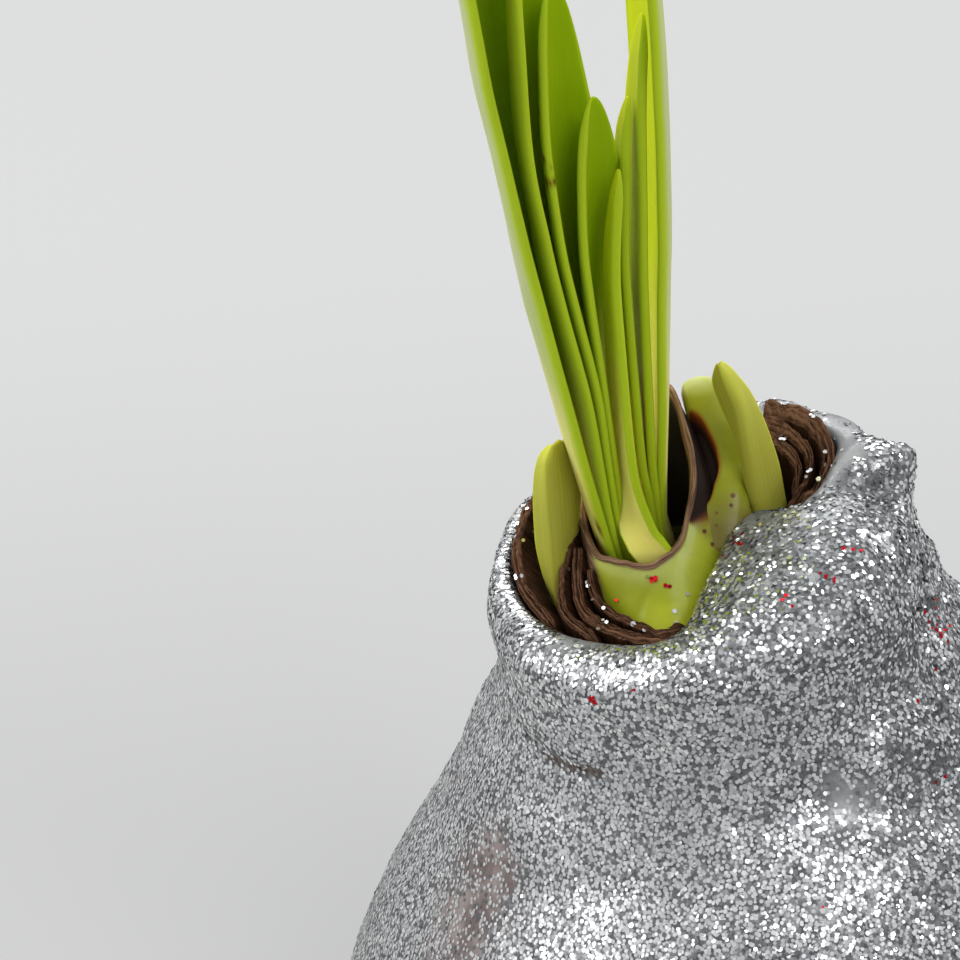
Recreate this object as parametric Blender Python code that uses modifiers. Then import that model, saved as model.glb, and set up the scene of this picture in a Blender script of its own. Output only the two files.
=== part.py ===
"""Amaryllis bulb in a dipped wax coat. It stands on the small flat spot under its middle.

The bulb is designed upright, round a straight axis, and lean() then bends every piece along the
bulb's crooked neck, so that pieces that fit each other keep their clearance. Units are metres.
"""

import math

import bmesh
import bpy
import numpy as np
from mathutils import Vector

MM = 0.001
CLEAR = 0.35 * MM  # between pieces that touch on the real bulb

# The waxed bulb, measured along its straight axis.
BULB_RADIUS = 47.0 * MM
WIDEST_HEIGHT = 32.0 * MM
LOWER_DEPTH = 35.5 * MM  # the lower half is an ellipse this deep, cut flat at the base
SHOULDER_RISE = 66.5 * MM
SHOULDER_POWER = 0.9
NECK_RADIUS = 21.4 * MM
NECK_BLEND = 5.8  # how sharply the shoulder turns into the neck
RIM_HEIGHT = 95.0 * MM
WAX_THICKNESS = 2.2 * MM
STEPS = 48  # points round the bulb

# The crook of the neck: towards -X from low in the body, and towards -Y near the rim.
LEAN_ANGLE = math.radians(16.7)
LEAN_START = 10.0 * MM
NOD_ANGLE = math.radians(6.0)
NOD_START = 65.0 * MM

# The mouth of the wax. Heights here and below are above the rim's left edge.
FLOOR = -6.0 * MM  # cut top of the bulb, which the leaves and tunics stand on
MOUTH_FOOT = -9.0 * MM  # below it the wax follows the bulb again
MOUTH_FOOT_PLAY = 0.8 * MM  # the bulb narrows a little more where the wax changes its plan
RIM_RISE = 2.6 * MM  # the rim's far right stands higher than its left
RIM_RISE_TOWARDS = math.radians(35.0)
RIM_DIP = 1.5 * MM  # and its far left lower
RIM_DIP_TOWARDS = math.radians(145.0)
MOUND_RISE = 1.3 * MM  # wax heaped on the front right of the mouth
MOUND_TOWARDS = math.radians(-42.0)
KNOB_RISE = 1.6 * MM  # lump of wax on the outer edge at the right
KNOB_TOWARDS = math.radians(12.0)
LEDGE_DEPTH = 1.1 * MM  # the neck swells over a ledge at its foot
LEDGE_HEIGHT = 79.0 * MM

SHEET = 0.6 * MM  # leaf blades and tunics
SCALE_SHEET = 0.85 * MM
SHEATH_COLUMNS = 32
SHEATH_ROWS = 4
SHEATH_FOOT_SHARE = 0.26  # the lowest row of the sheath stands upright on the bulb
BASE_SHARE = 0.8  # a blade's width at its base, against its widest
FACING_HEIGHT = 40.0  # millimetres above the rim, where a blade has turned to its last facing
CHANNEL_HEIGHT = 30.0  # and where its channel has its full depth
WIDEST_SHARE = 0.45  # how far up a blade is widest, and where its tip starts
TIP_SHARE = 0.55
TIP_WIDTH = 0.35

COLOURS = {
    "wax": ((0.55, 0.56, 0.58), 0.35, 0.6),
    "bulb": ((0.62, 0.58, 0.34), 0.6, 0.0),
    "tunic": ((0.16, 0.08, 0.045), 0.8, 0.0),
    "scale": ((0.38, 0.47, 0.08), 0.4, 0.0),
    "leaf": ((0.24, 0.42, 0.03), 0.4, 0.0),
}


def mm(*values):
    """Plan points or heights given in millimetres, as an array in metres."""
    return np.array(values, float) * MM


def clear_scene():
    for old in list(bpy.data.objects):
        bpy.data.objects.remove(old, do_unlink=True)


def new_collection(name):
    collection = bpy.data.collections.new(name)
    bpy.context.scene.collection.children.link(collection)
    return collection


def new_material(name, kind):
    colour, roughness, metallic = COLOURS[kind]
    material = bpy.data.materials.new(name)
    material.use_nodes = True
    shader = material.node_tree.nodes["Principled BSDF"]
    shader.inputs["Base Color"].default_value = (*colour, 1.0)
    shader.inputs["Roughness"].default_value = roughness
    shader.inputs["Metallic"].default_value = metallic
    return material


def lean_table(step=0.25 * MM, top=240.0 * MM):
    """Heights, the axis's place and its two angles at each: integrated from the bottom up."""
    height = np.arange(0.0, top, step)
    lean_part = np.clip((height - LEAN_START) / (RIM_HEIGHT - LEAN_START), 0, 1)
    nod_part = np.clip((height - NOD_START) / (RIM_HEIGHT - NOD_START), 0, 1)
    lean_at = LEAN_ANGLE * lean_part
    nod_at = NOD_ANGLE * nod_part
    along = np.stack(
        [-np.sin(lean_at) * np.cos(nod_at), -np.sin(nod_at), np.cos(lean_at) * np.cos(nod_at)], axis=1
    )
    place = np.zeros((len(height), 3))
    place[1:] = np.cumsum((along[1:] + along[:-1]) / 2 * step, axis=0)
    return height, place, lean_at, nod_at


LEAN_TABLE = lean_table()


def lean(points):
    """Points of the straight design, carried to the bent bulb."""
    points = np.asarray(points, float)
    height, place, lean_at, nod_at = LEAN_TABLE
    z = points[:, 2]
    centre = np.stack([np.interp(z, height, place[:, k]) for k in range(3)], axis=1)
    a = np.interp(z, height, lean_at)
    b = np.interp(z, height, nod_at)
    across = np.stack([np.cos(a), np.zeros_like(a), np.sin(a)], axis=1)
    along = np.stack([-np.sin(a) * np.cos(b), -np.sin(b), np.cos(a) * np.cos(b)], axis=1)
    back = np.cross(along, across)
    return centre + points[:, :1] * across + points[:, 1:2] * back


def smooth_closed(points, count):
    """A closed curve through the points, read at evenly spaced places, as (count, 2)."""
    points = np.asarray(points, float)
    dense = []
    for i in range(len(points)):
        p0, p1, p2, p3 = (points[(i + k - 1) % len(points)] for k in range(4))
        dense += [hermite(p0, p1, p2, p3, t) for t in np.linspace(0, 1, 24, endpoint=False)]
    dense = np.array(dense + [dense[0]])
    return evenly(dense, count, closed=True)


def smooth_open(points, count):
    """A curve from the first point to the last, read at evenly spaced places."""
    points = np.asarray(points, float)
    ends = np.vstack([2 * points[0] - points[1], points, 2 * points[-1] - points[-2]])
    dense = []
    for i in range(len(points) - 1):
        dense += [hermite(*ends[i : i + 4], t) for t in np.linspace(0, 1, 24, endpoint=False)]
    return evenly(np.array(dense + [points[-1]]), count, closed=False)


def hermite(p0, p1, p2, p3, t):
    start, end = (p2 - p0) / 2, (p3 - p1) / 2
    a = 2 * t**3 - 3 * t**2 + 1
    b = t**3 - 2 * t**2 + t
    c = -2 * t**3 + 3 * t**2
    return a * p1 + b * start + c * p2 + (t**3 - t**2) * end


def evenly(dense, count, closed):
    run = np.r_[0, np.cumsum(np.linalg.norm(np.diff(dense[:, :2], axis=0), axis=1))]
    at = np.linspace(0, run[-1], count + 1)[:-1] if closed else np.linspace(0, run[-1], count)
    return np.stack([np.interp(at, run, dense[:, k]) for k in range(dense.shape[1])], axis=1)


def inset(curve, distance):
    """A closed anticlockwise plan curve moved inwards by this distance."""
    forward = np.roll(curve, -1, axis=0) - np.roll(curve, 1, axis=0)
    forward /= np.linalg.norm(forward, axis=1)[:, None]
    return curve + distance * np.stack([-forward[:, 1], forward[:, 0]], axis=1)


# Plan of the wax mouth, seen from above, anticlockwise from its right.
MOUTH = mm(
    (14.9, 6.6), (14.2, 9.6), (11.6, 13.0), (7.4, 15.6), (0.0, 16.6), (-8.0, 15.9), (-14.4, 12.0),
    (-17.6, 6.8), (-18.0, 1.8), (-16.6, -3.6), (-13.4, -8.4), (-9.0, -12.0), (-5.3, -13.6),
    (-2.0, -12.6), (0.4, -8.2), (2.6, -4.2), (3.9, -1.0), (5.6, 0.6), (8.4, -0.7), (11.2, 0.2),
    (13.5, 2.8),
)


def ring_angles():
    return np.arange(STEPS) * 2 * math.pi / STEPS


def mouth_curve(distance):
    """The mouth's plan, moved inwards, with its points in step with those round the bulb."""
    curve = smooth_closed(MOUTH, STEPS)
    first = int(np.argmin(np.abs(np.arctan2(curve[:, 1], curve[:, 0]))))
    return inset(np.roll(curve, -first, axis=0), distance)


def body_radius(z):
    """Radius of the waxed bulb at this height: an ellipse, a rounded shoulder and the neck."""
    if z < WIDEST_HEIGHT:
        return BULB_RADIUS * math.sqrt(1 - ((WIDEST_HEIGHT - z) / LOWER_DEPTH) ** 2)
    turn = min((z - WIDEST_HEIGHT) / SHOULDER_RISE, 1) * math.pi / 2
    shoulder = BULB_RADIUS * max(math.cos(turn), 0) ** SHOULDER_POWER
    return (shoulder**NECK_BLEND + NECK_RADIUS**NECK_BLEND) ** (1 / NECK_BLEND)


def body_profile():
    """(radius, height) from the edge of the flat spot up to the foot of the mouth."""
    lowest = math.asin(WIDEST_HEIGHT / LOWER_DEPTH)
    low = WIDEST_HEIGHT - LOWER_DEPTH * np.sin(np.linspace(lowest, 0, 8))
    high = np.linspace(WIDEST_HEIGHT, RIM_HEIGHT - 13 * MM, 13)[1:]
    return np.array([(body_radius(z), z) for z in np.r_[low, high]])


def profile_inset(profile, distance):
    forward = np.gradient(profile, axis=0)
    forward /= np.linalg.norm(forward, axis=1)[:, None]
    return profile + distance * np.stack([-forward[:, 1], forward[:, 0]], axis=1)


def towards(angle, spread):
    """How near each point round the bulb is to this direction, from 1 down to 0."""
    apart = (ring_angles() - angle + math.pi) % (2 * math.pi) - math.pi
    return np.exp(-((apart / spread) ** 2))


def round_ring(radius, z):
    angle = ring_angles()
    radius = np.broadcast_to(radius, (STEPS,))
    z = np.broadcast_to(z, (STEPS,))
    return np.stack([radius * np.cos(angle), radius * np.sin(angle), z], axis=1)


def mouth_ring(distance, height):
    plan = mouth_curve(distance)
    z = np.broadcast_to(RIM_HEIGHT + height, (STEPS,))
    return np.column_stack([plan, z])


def between(ring_a, ring_b, share):
    return ring_a + (ring_b - ring_a) * share


def outer_rings():
    """The outside of the wax, with the swelling over the ledge at the neck's foot."""
    rings = []
    for radius, z in body_profile():
        swell = LEDGE_DEPTH * math.exp(-(((z - LEDGE_HEIGHT) / (5 * MM)) ** 2))
        rings.append(round_ring(radius + swell * towards(math.pi, 1.2), z))
    return rings


def rim_rings():
    """Round over the rim: from the neck's outside to the edge of the mouth."""
    rise = RIM_RISE * (1 + np.cos(ring_angles() - RIM_RISE_TOWARDS)) / 2
    rise -= RIM_DIP * towards(RIM_DIP_TOWARDS, 0.7)
    mound = MOUND_RISE * towards(MOUND_TOWARDS, 0.6)
    knob = KNOB_RISE * towards(KNOB_TOWARDS, 0.22)
    mouth = mouth_ring(0, 0)
    rings = []
    for share, height, lift in (
        (0.0, -8.5 * MM, 0.0),
        (0.03, -5.0 * MM, 0.4),
        (0.12, -2.4 * MM, 0.8),
        (0.3, -0.8 * MM, 1.0),
        (0.6, 0.0, 1.0),
        (0.93, -0.1 * MM, 1.0),
    ):
        ring = between(round_ring(body_radius(RIM_HEIGHT + height), 0), mouth, share)
        ring[:, 2] = RIM_HEIGHT + height + lift * rise + lift * (1 - abs(2 * share - 1)) * mound
        ring[:, 2] += knob * math.exp(-(((share - 0.15) / 0.2) ** 2))
        rings.append(ring)
    edge = mouth_ring(0, -0.9 * MM)
    edge[:, 2] += rise
    return rings + [edge]


def inner_rings(clearance, play):
    """The hollow of the wax, or the bulb in it when it has clearance: mouth down to base."""
    profile = profile_inset(body_profile(), WAX_THICKNESS + clearance)
    body = [round_ring(radius, z) for radius, z in profile]
    mouth = [mouth_ring(clearance, FLOOR), mouth_ring(clearance + play, MOUTH_FOOT)]
    return mouth + body[::-1]


def ring_body(name, rings):
    """A closed body lofted through the rings, closed by a fan over the first and the last.

    Every quad is split the same way, so that one body nests in another with an even gap.
    """
    mesh = bmesh.new()
    bmesh.ops.create_circle(mesh, cap_ends=True, cap_tris=True, segments=STEPS, radius=1.0)
    edge_verts = [v for v in mesh.verts if v.is_boundary]
    edge_verts.sort(key=lambda v: math.atan2(v.co.y, v.co.x) % (2 * math.pi))
    middle = next(v for v in mesh.verts if not v.is_boundary)
    middle.co = Vector(lean([rings[0].mean(axis=0)])[0])
    place(edge_verts, rings[0])
    for ring in rings[1:]:
        loop = [e for e in mesh.edges if e.is_boundary]
        made = bmesh.ops.extrude_edge_only(mesh, edges=loop)["geom"]
        made = {v for v in made if isinstance(v, bmesh.types.BMVert)}
        below = edge_verts
        edge_verts = [next(w for w in neighbours(v) if w in made) for v in below]
        place(edge_verts, ring)
        for old, new in zip(below, edge_verts[1:] + edge_verts[:1]):
            quad = next(f for f in old.link_faces if new in f.verts)
            bmesh.utils.face_split(quad, old, new)
    cap = bmesh.ops.contextual_create(mesh, geom=[e for e in mesh.edges if e.is_boundary])
    bmesh.ops.poke(mesh, faces=cap["faces"])
    bmesh.ops.recalc_face_normals(mesh, faces=mesh.faces)
    return mesh_object(name, mesh)


def neighbours(vert):
    return [edge.other_vert(vert) for edge in vert.link_edges]


def place(verts, ring):
    for vert, point in zip(verts, lean(ring)):
        vert.co = Vector(point)


def mesh_object(name, mesh):
    data = bpy.data.meshes.new(name)
    mesh.to_mesh(data)
    mesh.free()
    data.shade_smooth()
    return bpy.data.objects.new(name, data)


def sheet(name, surface, columns, rows, thickness, wrap=False):
    """An open sheet given by surface(across, along), both from 0 to 1, made solid."""
    mesh = bmesh.new()
    bmesh.ops.create_grid(mesh, x_segments=columns, y_segments=rows, size=0.5)
    spots = [(v.co.x + 0.5, v.co.y + 0.5) for v in mesh.verts]
    points = lean(np.array([surface(across, along) for across, along in spots]))
    for vert, point in zip(mesh.verts, points):
        vert.co = Vector(point)
    if wrap:
        bmesh.ops.remove_doubles(mesh, verts=mesh.verts, dist=0.02 * MM)
    piece = mesh_object(name, mesh)
    solid = piece.modifiers.new("Thickness", "SOLIDIFY")
    solid.thickness = thickness
    solid.offset = 0.0
    solid.use_even_offset = True
    solid.use_quality_normals = True
    return piece


def tunic(name, path):
    """A papery skin that stands on the cut bulb. The path is (across, back, top height)."""
    columns = 3 * len(path)
    line = smooth_open(mm(*path), columns + 1)

    def surface(across, along):
        x, y, top = line[round(across * columns)]
        bottom = FLOOR + CLEAR
        return x, y, RIM_HEIGHT + bottom + (top - bottom) * along

    return sheet(name, surface, columns, 2, SHEET)


def sheath(name, foot, lip):
    """The green scale round the main shoot: a funnel from its foot up to its lip."""
    foot_line = smooth_closed(mm(*foot), SHEATH_COLUMNS)
    lip_line = smooth_closed(mm(*lip), SHEATH_COLUMNS)

    def surface(across, along):
        column = round(across * SHEATH_COLUMNS) % SHEATH_COLUMNS
        low, high = foot_line[column], lip_line[column]
        bottom = FLOOR + CLEAR
        if along <= SHEATH_FOOT_SHARE:
            x, y = low[:2]
            z = bottom + (low[2] - bottom) * along / SHEATH_FOOT_SHARE
        else:
            x, y, z = low + (high - low) * (along - SHEATH_FOOT_SHARE) / (1 - SHEATH_FOOT_SHARE)
        return x, y, RIM_HEIGHT + z

    return sheet(name, surface, SHEATH_COLUMNS, SHEATH_ROWS, SCALE_SHEET, wrap=True)


def half_width(along, wide, base):
    """Half the blade's width: from its base out to its widest, then rounded in to the tip."""
    swell = base + (wide - base) * math.sin(math.pi / 2 * min(along / WIDEST_SHARE, 1))
    if along <= TIP_SHARE:
        return swell
    return max(swell * math.sqrt(1 - ((along - TIP_SHARE) / (1 - TIP_SHARE)) ** 2), TIP_WIDTH)


def blade(name, side, front, length, wide, turn, channel, base=BASE_SHARE, columns=8, rows=11):
    """A leaf blade with a channel down its inner side.

    front holds (across, slope, bend) of its front edge, how far back it stands and how that
    changes upwards, in millimetres. side is -1 for a blade whose back bulges to the left and 1
    to the right. turn is the way it faces at its base and higher up, in degrees from straight
    back. channel is its depth higher up, and the share of it at the base.
    """
    start, slope, bend, back, back_slope = front
    bottom = (FLOOR + CLEAR) / MM

    def surface(across, along):
        height = bottom + (length - bottom) * along
        above = max(height, 0)
        facing = math.radians(turn[0] + (turn[1] - turn[0]) * min(above / FACING_HEIGHT, 1))
        depth = channel[0] * (channel[1] + (1 - channel[1]) * min(above / CHANNEL_HEIGHT, 1))
        half = half_width(along, wide, base * wide)
        reach = 2 * across - 1
        offset = wide + half * reach
        bulge = side * depth * (half / wide) ** 2 * (1 - reach**2)
        x = start + slope * above + bend * above**2
        x += math.sin(facing) * offset + math.cos(facing) * bulge
        y = back + back_slope * above + math.cos(facing) * offset - math.sin(facing) * bulge
        return x * MM, y * MM, RIM_HEIGHT + height * MM

    return sheet(name, surface, columns, rows, SHEET)


def wax_coat():
    rings = outer_rings() + rim_rings() + inner_rings(0.0, 0.0)
    return ring_body("wax_coat", rings)


def bulb_body():
    return ring_body("bulb_body", inner_rings(CLEAR, MOUTH_FOOT_PLAY))


# Tunics as (across, back, top height) in millimetres, each from its back end round to the front.
TUNICS = {
    "tunic_left_outer": (
        (-14.4, 10.4, 1.4), (-16.2, 7.4, 1.5), (-17.2, 4.0, 1.2), (-17.1, 0.4, 0.6),
        (-16.2, -2.4, 0.0), (-14.9, -4.9, -0.8),
    ),
    "tunic_left_middle": (
        (-11.6, 8.4, 2.2), (-11.8, 5.2, 2.0), (-12.8, 1.8, 1.2), (-14.0, -1.4, 0.6),
        (-13.7, -4.4, 0.0), (-12.3, -7.0, -0.5), (-10.9, -9.2, -1.0),
    ),
    "tunic_front_outer": (
        (-12.2, 1.0, 1.4), (-12.6, -2.4, 0.6), (-11.9, -5.2, 0.0), (-9.6, -8.3, -0.5),
        (-7.0, -10.4, -1.0), (-4.6, -11.6, -1.0), (-2.5, -10.9, -1.0),
    ),
    "tunic_front_inner": (
        (-11.3, -1.8, 1.0), (-10.6, -3.8, 0.4), (-8.9, -6.4, -0.3), (-6.5, -8.7, -1.0),
        (-4.5, -9.9, -1.5), (-2.4, -9.2, -1.5),
    ),
    "tunic_right_outer": (
        (8.6, 13.4, 5.0), (10.9, 11.6, 4.5), (12.9, 9.2, 4.0), (13.7, 6.5, 2.8),
        (12.9, 3.9, 1.8), (10.8, 1.6, 1.0), (8.6, 0.6, 0.5),
    ),
    "tunic_right_middle": (
        (8.2, 12.3, 4.8), (10.2, 10.6, 4.2), (11.8, 8.5, 3.4), (12.4, 6.4, 2.4),
        (11.8, 4.6, 1.6), (10.2, 2.7, 0.9), (8.8, 1.8, 0.5),
    ),
    "tunic_right_inner": (
        (7.7, 11.2, 4.4), (9.4, 9.8, 3.8), (10.7, 8.0, 3.0), (11.2, 6.4, 2.0),
        (10.7, 5.0, 1.4), (9.9, 4.0, 0.8),
    ),
}

# The green scale round the main shoot, from its left round the front: (across, back, height).
SCALE_FOOT = (
    (-10.9, 5.0, -2.0), (-10.7, 1.2, -1.5), (-10.1, -1.6, -1.5), (-8.5, -4.2, -2.2),
    (-6.0, -6.8, -3.1), (-4.2, -7.8, -3.6), (-2.5, -6.9, -3.5), (-0.8, -5.2, -3.0),
    (0.9, -3.2, -2.2), (2.1, -0.8, -1.2), (2.7, 2.4, 0.0), (2.8, 6.2, 0.5), (2.2, 10.2, 0.5),
    (-0.6, 12.9, 0.0), (-5.0, 13.6, -1.0), (-9.4, 11.0, -2.0),
)
SCALE_LIP = (
    (-10.8, 5.0, 1.8), (-10.6, 1.6, 1.5), (-9.9, -0.4, 1.4), (-8.2, -1.5, 1.4),
    (-5.6, -2.7, 1.2), (-4.0, -3.1, 1.2), (-2.5, -2.9, 1.3), (-0.9, -2.1, 1.6),
    (0.8, -0.6, 1.9), (2.2, 1.4, 2.6), (2.9, 4.1, 4.6), (3.0, 7.3, 7.0), (2.4, 10.4, 9.4),
    (-0.6, 12.7, 7.4), (-5.0, 13.2, 4.0), (-9.2, 10.8, 2.4),
)
SCALE_RIGHT = (
    (6.4, 10.0, 11.0), (5.2, 10.3, 11.2), (4.3, 9.4, 11.3), (4.05, 7.6, 11.2), (4.1, 5.6, 10.4),
    (4.6, 3.9, 9.2), (5.1, 2.9, 7.5),
)

# Main leaves: side, front edge, length above the rim, half width, facing, channel.
LEAVES = {
    "leaf_left_1": (-1, (-7.9, 0.044, 0.0003, -0.9, -0.085), 92, 6.0, (-4, 20), (3.2, 0.45)),
    "leaf_left_2": (-1, (-6.8, 0.015, 0.0015, -0.4, -0.085), 84, 5.2, (-5, 22), (2.9, 0.45)),
    "leaf_left_3": (-1, (-5.95, 0.05, 0.0006, 0.1, -0.085), 61, 5.0, (-4, 30), (2.6, 0.45)),
    "leaf_left_4": (-1, (-5.1, 0.07, 0.0008, 0.6, -0.085), 49, 4.2, (-6, 36), (2.1, 0.45)),
    "leaf_right_1": (1, (-5.3, 0.02, 0.0048, -1.8, 0.0), 38.5, 2.1, (32, 4), (0.6, 0.6)),
    "leaf_right_2": (1, (-4.15, 0.115, 0.0023, 2.9, -0.05), 45.5, 2.5, (2, 8), (0.7, 0.5)),
    "leaf_right_3": (1, (-3.25, 0.147, 0.002, 2.9, -0.05), 52.5, 3.2, (0, 4), (0.9, 0.5)),
    "leaf_right_4": (1, (-2.35, 0.24, 0.0003, 2.9, -0.05), 86, 5.0, (-3, -4), (1.6, 0.4)),
}
SHOOT_LEFT = (-1, (-15.0, 0.45, -0.0133, -0.2, 0.0), 13.5, 2.5, (18, 30), (2.3, 1.0))
SHOOT_RIGHT = (1, (6.15, 0.091, 0.0012, 2.0, 0.0), 15.5, 2.5, (11, -75), (2.2, 1.0))
SHOOT_BASE = 0.65


def scales():
    yield sheath("scale_front", SCALE_FOOT, SCALE_LIP), "scale"
    yield tunic("scale_right", SCALE_RIGHT), "scale"


def leaves():
    for name, shape in LEAVES.items():
        yield blade(name, *shape), "leaf"
    yield blade("shoot_left", *SHOOT_LEFT, SHOOT_BASE, rows=6), "leaf"
    yield blade("shoot_right", *SHOOT_RIGHT, SHOOT_BASE, rows=6), "leaf"


def main():
    clear_scene()
    collection = new_collection("amaryllis_bulb")
    pieces = [(wax_coat(), "wax"), (bulb_body(), "bulb")]
    pieces += [(tunic(name, path), "tunic") for name, path in TUNICS.items()]
    pieces += list(scales()) + list(leaves())
    for piece, kind in pieces:
        piece.data.materials.append(new_material(piece.name, kind))
        collection.objects.link(piece)


main()
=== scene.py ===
"""Amaryllis bulb in silver glitter wax: its visual pieces, and the floor, lights and camera."""

import math

import bmesh
import bpy
import numpy as np
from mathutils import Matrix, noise


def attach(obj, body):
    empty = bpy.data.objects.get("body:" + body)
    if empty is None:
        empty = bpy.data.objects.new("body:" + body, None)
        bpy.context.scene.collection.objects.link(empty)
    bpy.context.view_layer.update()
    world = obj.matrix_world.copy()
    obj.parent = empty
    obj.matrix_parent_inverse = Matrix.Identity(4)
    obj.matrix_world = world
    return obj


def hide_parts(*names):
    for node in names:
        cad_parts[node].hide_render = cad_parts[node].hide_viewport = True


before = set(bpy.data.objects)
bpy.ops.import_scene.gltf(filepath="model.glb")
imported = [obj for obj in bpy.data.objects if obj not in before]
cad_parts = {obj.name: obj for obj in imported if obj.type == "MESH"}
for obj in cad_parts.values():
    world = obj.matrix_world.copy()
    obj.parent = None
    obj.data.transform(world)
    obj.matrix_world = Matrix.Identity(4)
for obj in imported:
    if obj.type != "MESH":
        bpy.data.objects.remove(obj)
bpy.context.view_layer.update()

MM = 0.001

# The straight design that the CAD model is bent from; the sizes are the CAD model's own, except
# the rise of the rim at its back left, which follows the photograph more closely.
BULB_RADIUS = 47.0 * MM
WIDEST_HEIGHT = 32.0 * MM
LOWER_DEPTH = 35.5 * MM
SHOULDER_RISE = 66.5 * MM
SHOULDER_POWER = 0.9
NECK_RADIUS = 21.4 * MM
NECK_BLEND = 5.8
RIM_HEIGHT = 95.0 * MM
WAX_THICKNESS = 2.2 * MM
LEAN_ANGLE = math.radians(16.7)
LEAN_START = 10.0 * MM
NOD_ANGLE = math.radians(6.0)
NOD_START = 65.0 * MM
LEAN_STEP, LEAN_TOP = 0.25 * MM, 240.0 * MM
FLOOR = -6.0 * MM
MOUTH_FOOT = -9.0 * MM
RIM_RISE = 2.6 * MM
RIM_RISE_TOWARDS = math.radians(35.0)
BACK_RISE = 0.9 * MM
BACK_RISE_TOWARDS = math.radians(145.0)
BACK_RISE_SPREAD = 0.7
EDGE_DROP = 0.9 * MM
LIP_DEPTH = 2.5 * MM
MOUND_RISE = 1.3 * MM
MOUND_TOWARDS = math.radians(-42.0)
MOUND_SPREAD = 0.6
KNOB_RISE = 1.6 * MM
KNOB_TOWARDS = math.radians(12.0)
KNOB_SPREAD = 0.22
KNOB_SHARE, KNOB_REACH = 0.15, 0.2
LEDGE_DEPTH = 1.1 * MM
LEDGE_HEIGHT = 79.0 * MM
LEDGE_REACH = 5 * MM
LEDGE_SPREAD = 1.2
PROFILE_TOP = RIM_HEIGHT - 13 * MM
PROFILE_LOW, PROFILE_HIGH = 8, 13  # rows below the widest height, and from there up

# Rings over the rim: (share of the way to the mouth, height from the rim, share of the rises).
RIM_SECTION = (
    (0.0, -8.5 * MM, 0.0), (0.03, -5.0 * MM, 0.4), (0.12, -2.4 * MM, 0.8), (0.3, -0.8 * MM, 1.0),
    (0.6, 0.0, 1.0), (0.93, -0.1 * MM, 1.0),
)

# How finely the visual pieces are made: stations round the wax, the pitch of its rows, and the
# points between two given points of a smoothed line.
STEPS = 280
ROW_PITCH = 0.95 * MM
LINE_STEPS = 24
SETTLE = 0.02 * MM  # pieces stand this far above the cut bulb

# Shape of the straight design, and its bend.


def mm(*values):
    """Sizes given in millimetres, as an array in metres."""
    return np.array(values, float) * MM


def rising(value, start, over):
    """0 up to the start, and then up to 1 over this much."""
    return np.clip((value - start) / over, 0, 1)


def falling(value, end, over):
    """1, and then down to 0 at the end over this much."""
    return np.clip((end - value) / over, 0, 1)


def lean_table():
    """Heights of the straight design, where its axis passes at each, and its two tilts there."""
    height = np.arange(0.0, LEAN_TOP, LEAN_STEP)
    lean_at = LEAN_ANGLE * rising(height, LEAN_START, RIM_HEIGHT - LEAN_START)
    nod_at = NOD_ANGLE * rising(height, NOD_START, RIM_HEIGHT - NOD_START)
    along = axis_at(lean_at, nod_at)
    place = np.zeros((len(height), 3))
    place[1:] = np.cumsum((along[1:] + along[:-1]) / 2 * LEAN_STEP, axis=0)
    return height, place, lean_at, nod_at


def axis_at(left, forward):
    """Direction of the axis where it leans left and forward by these angles."""
    upright = np.cos(left) * np.cos(forward)
    return np.stack([-np.sin(left) * np.cos(forward), -np.sin(forward), upright], axis=-1)


LEAN_TABLE = lean_table()


def lean(points):
    """Points of the straight design, in an array of any shape, carried to the bent bulb."""
    points = np.asarray(points, float)
    flat = points.reshape(-1, 3)
    height, place, lean_at, nod_at = LEAN_TABLE
    z = flat[:, 2]
    centre = np.stack([np.interp(z, height, place[:, k]) for k in range(3)], axis=1)
    a = np.interp(z, height, lean_at)
    b = np.interp(z, height, nod_at)
    across = np.stack([np.cos(a), np.zeros_like(a), np.sin(a)], axis=1)
    back = np.cross(axis_at(a, b), across)
    return (centre + flat[:, :1] * across + flat[:, 1:2] * back).reshape(points.shape)


def hermite(p0, p1, p2, p3, t):
    """The smooth curve from p1 to p2, at t from 0 to 1, between its neighbours p0 and p3."""
    start, end = (p2 - p0) / 2, (p3 - p1) / 2
    a = 2 * t**3 - 3 * t**2 + 1
    b = t**3 - 2 * t**2 + t
    c = -2 * t**3 + 3 * t**2
    return a * p1 + b * start + c * p2 + (t**3 - t**2) * end


def evenly(dense, count, closed):
    """A dense line resampled to points evenly apart in plan."""
    run = np.r_[0, np.cumsum(np.linalg.norm(np.diff(dense[:, :2], axis=0), axis=1))]
    at = np.linspace(0, run[-1], count + 1)[:-1] if closed else np.linspace(0, run[-1], count)
    return np.stack([np.interp(at, run, dense[:, k]) for k in range(dense.shape[1])], axis=1)


def smooth_closed(points, count):
    """A smooth closed line through the points."""
    points = np.asarray(points, float)
    dense = []
    for i in range(len(points)):
        p0, p1, p2, p3 = (points[(i + k - 1) % len(points)] for k in range(4))
        dense += [hermite(p0, p1, p2, p3, t) for t in np.linspace(0, 1, LINE_STEPS, endpoint=False)]
    return evenly(np.array(dense + [dense[0]]), count, closed=True)


def smooth_open(points, count):
    """A smooth open line through the points."""
    points = np.asarray(points, float)
    ends = np.vstack([2 * points[0] - points[1], points, 2 * points[-1] - points[-2]])
    dense = []
    for i in range(len(points) - 1):
        dense += [hermite(*ends[i : i + 4], t) for t in np.linspace(0, 1, LINE_STEPS, endpoint=False)]
    return evenly(np.array(dense + [points[-1]]), count, closed=False)


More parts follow.
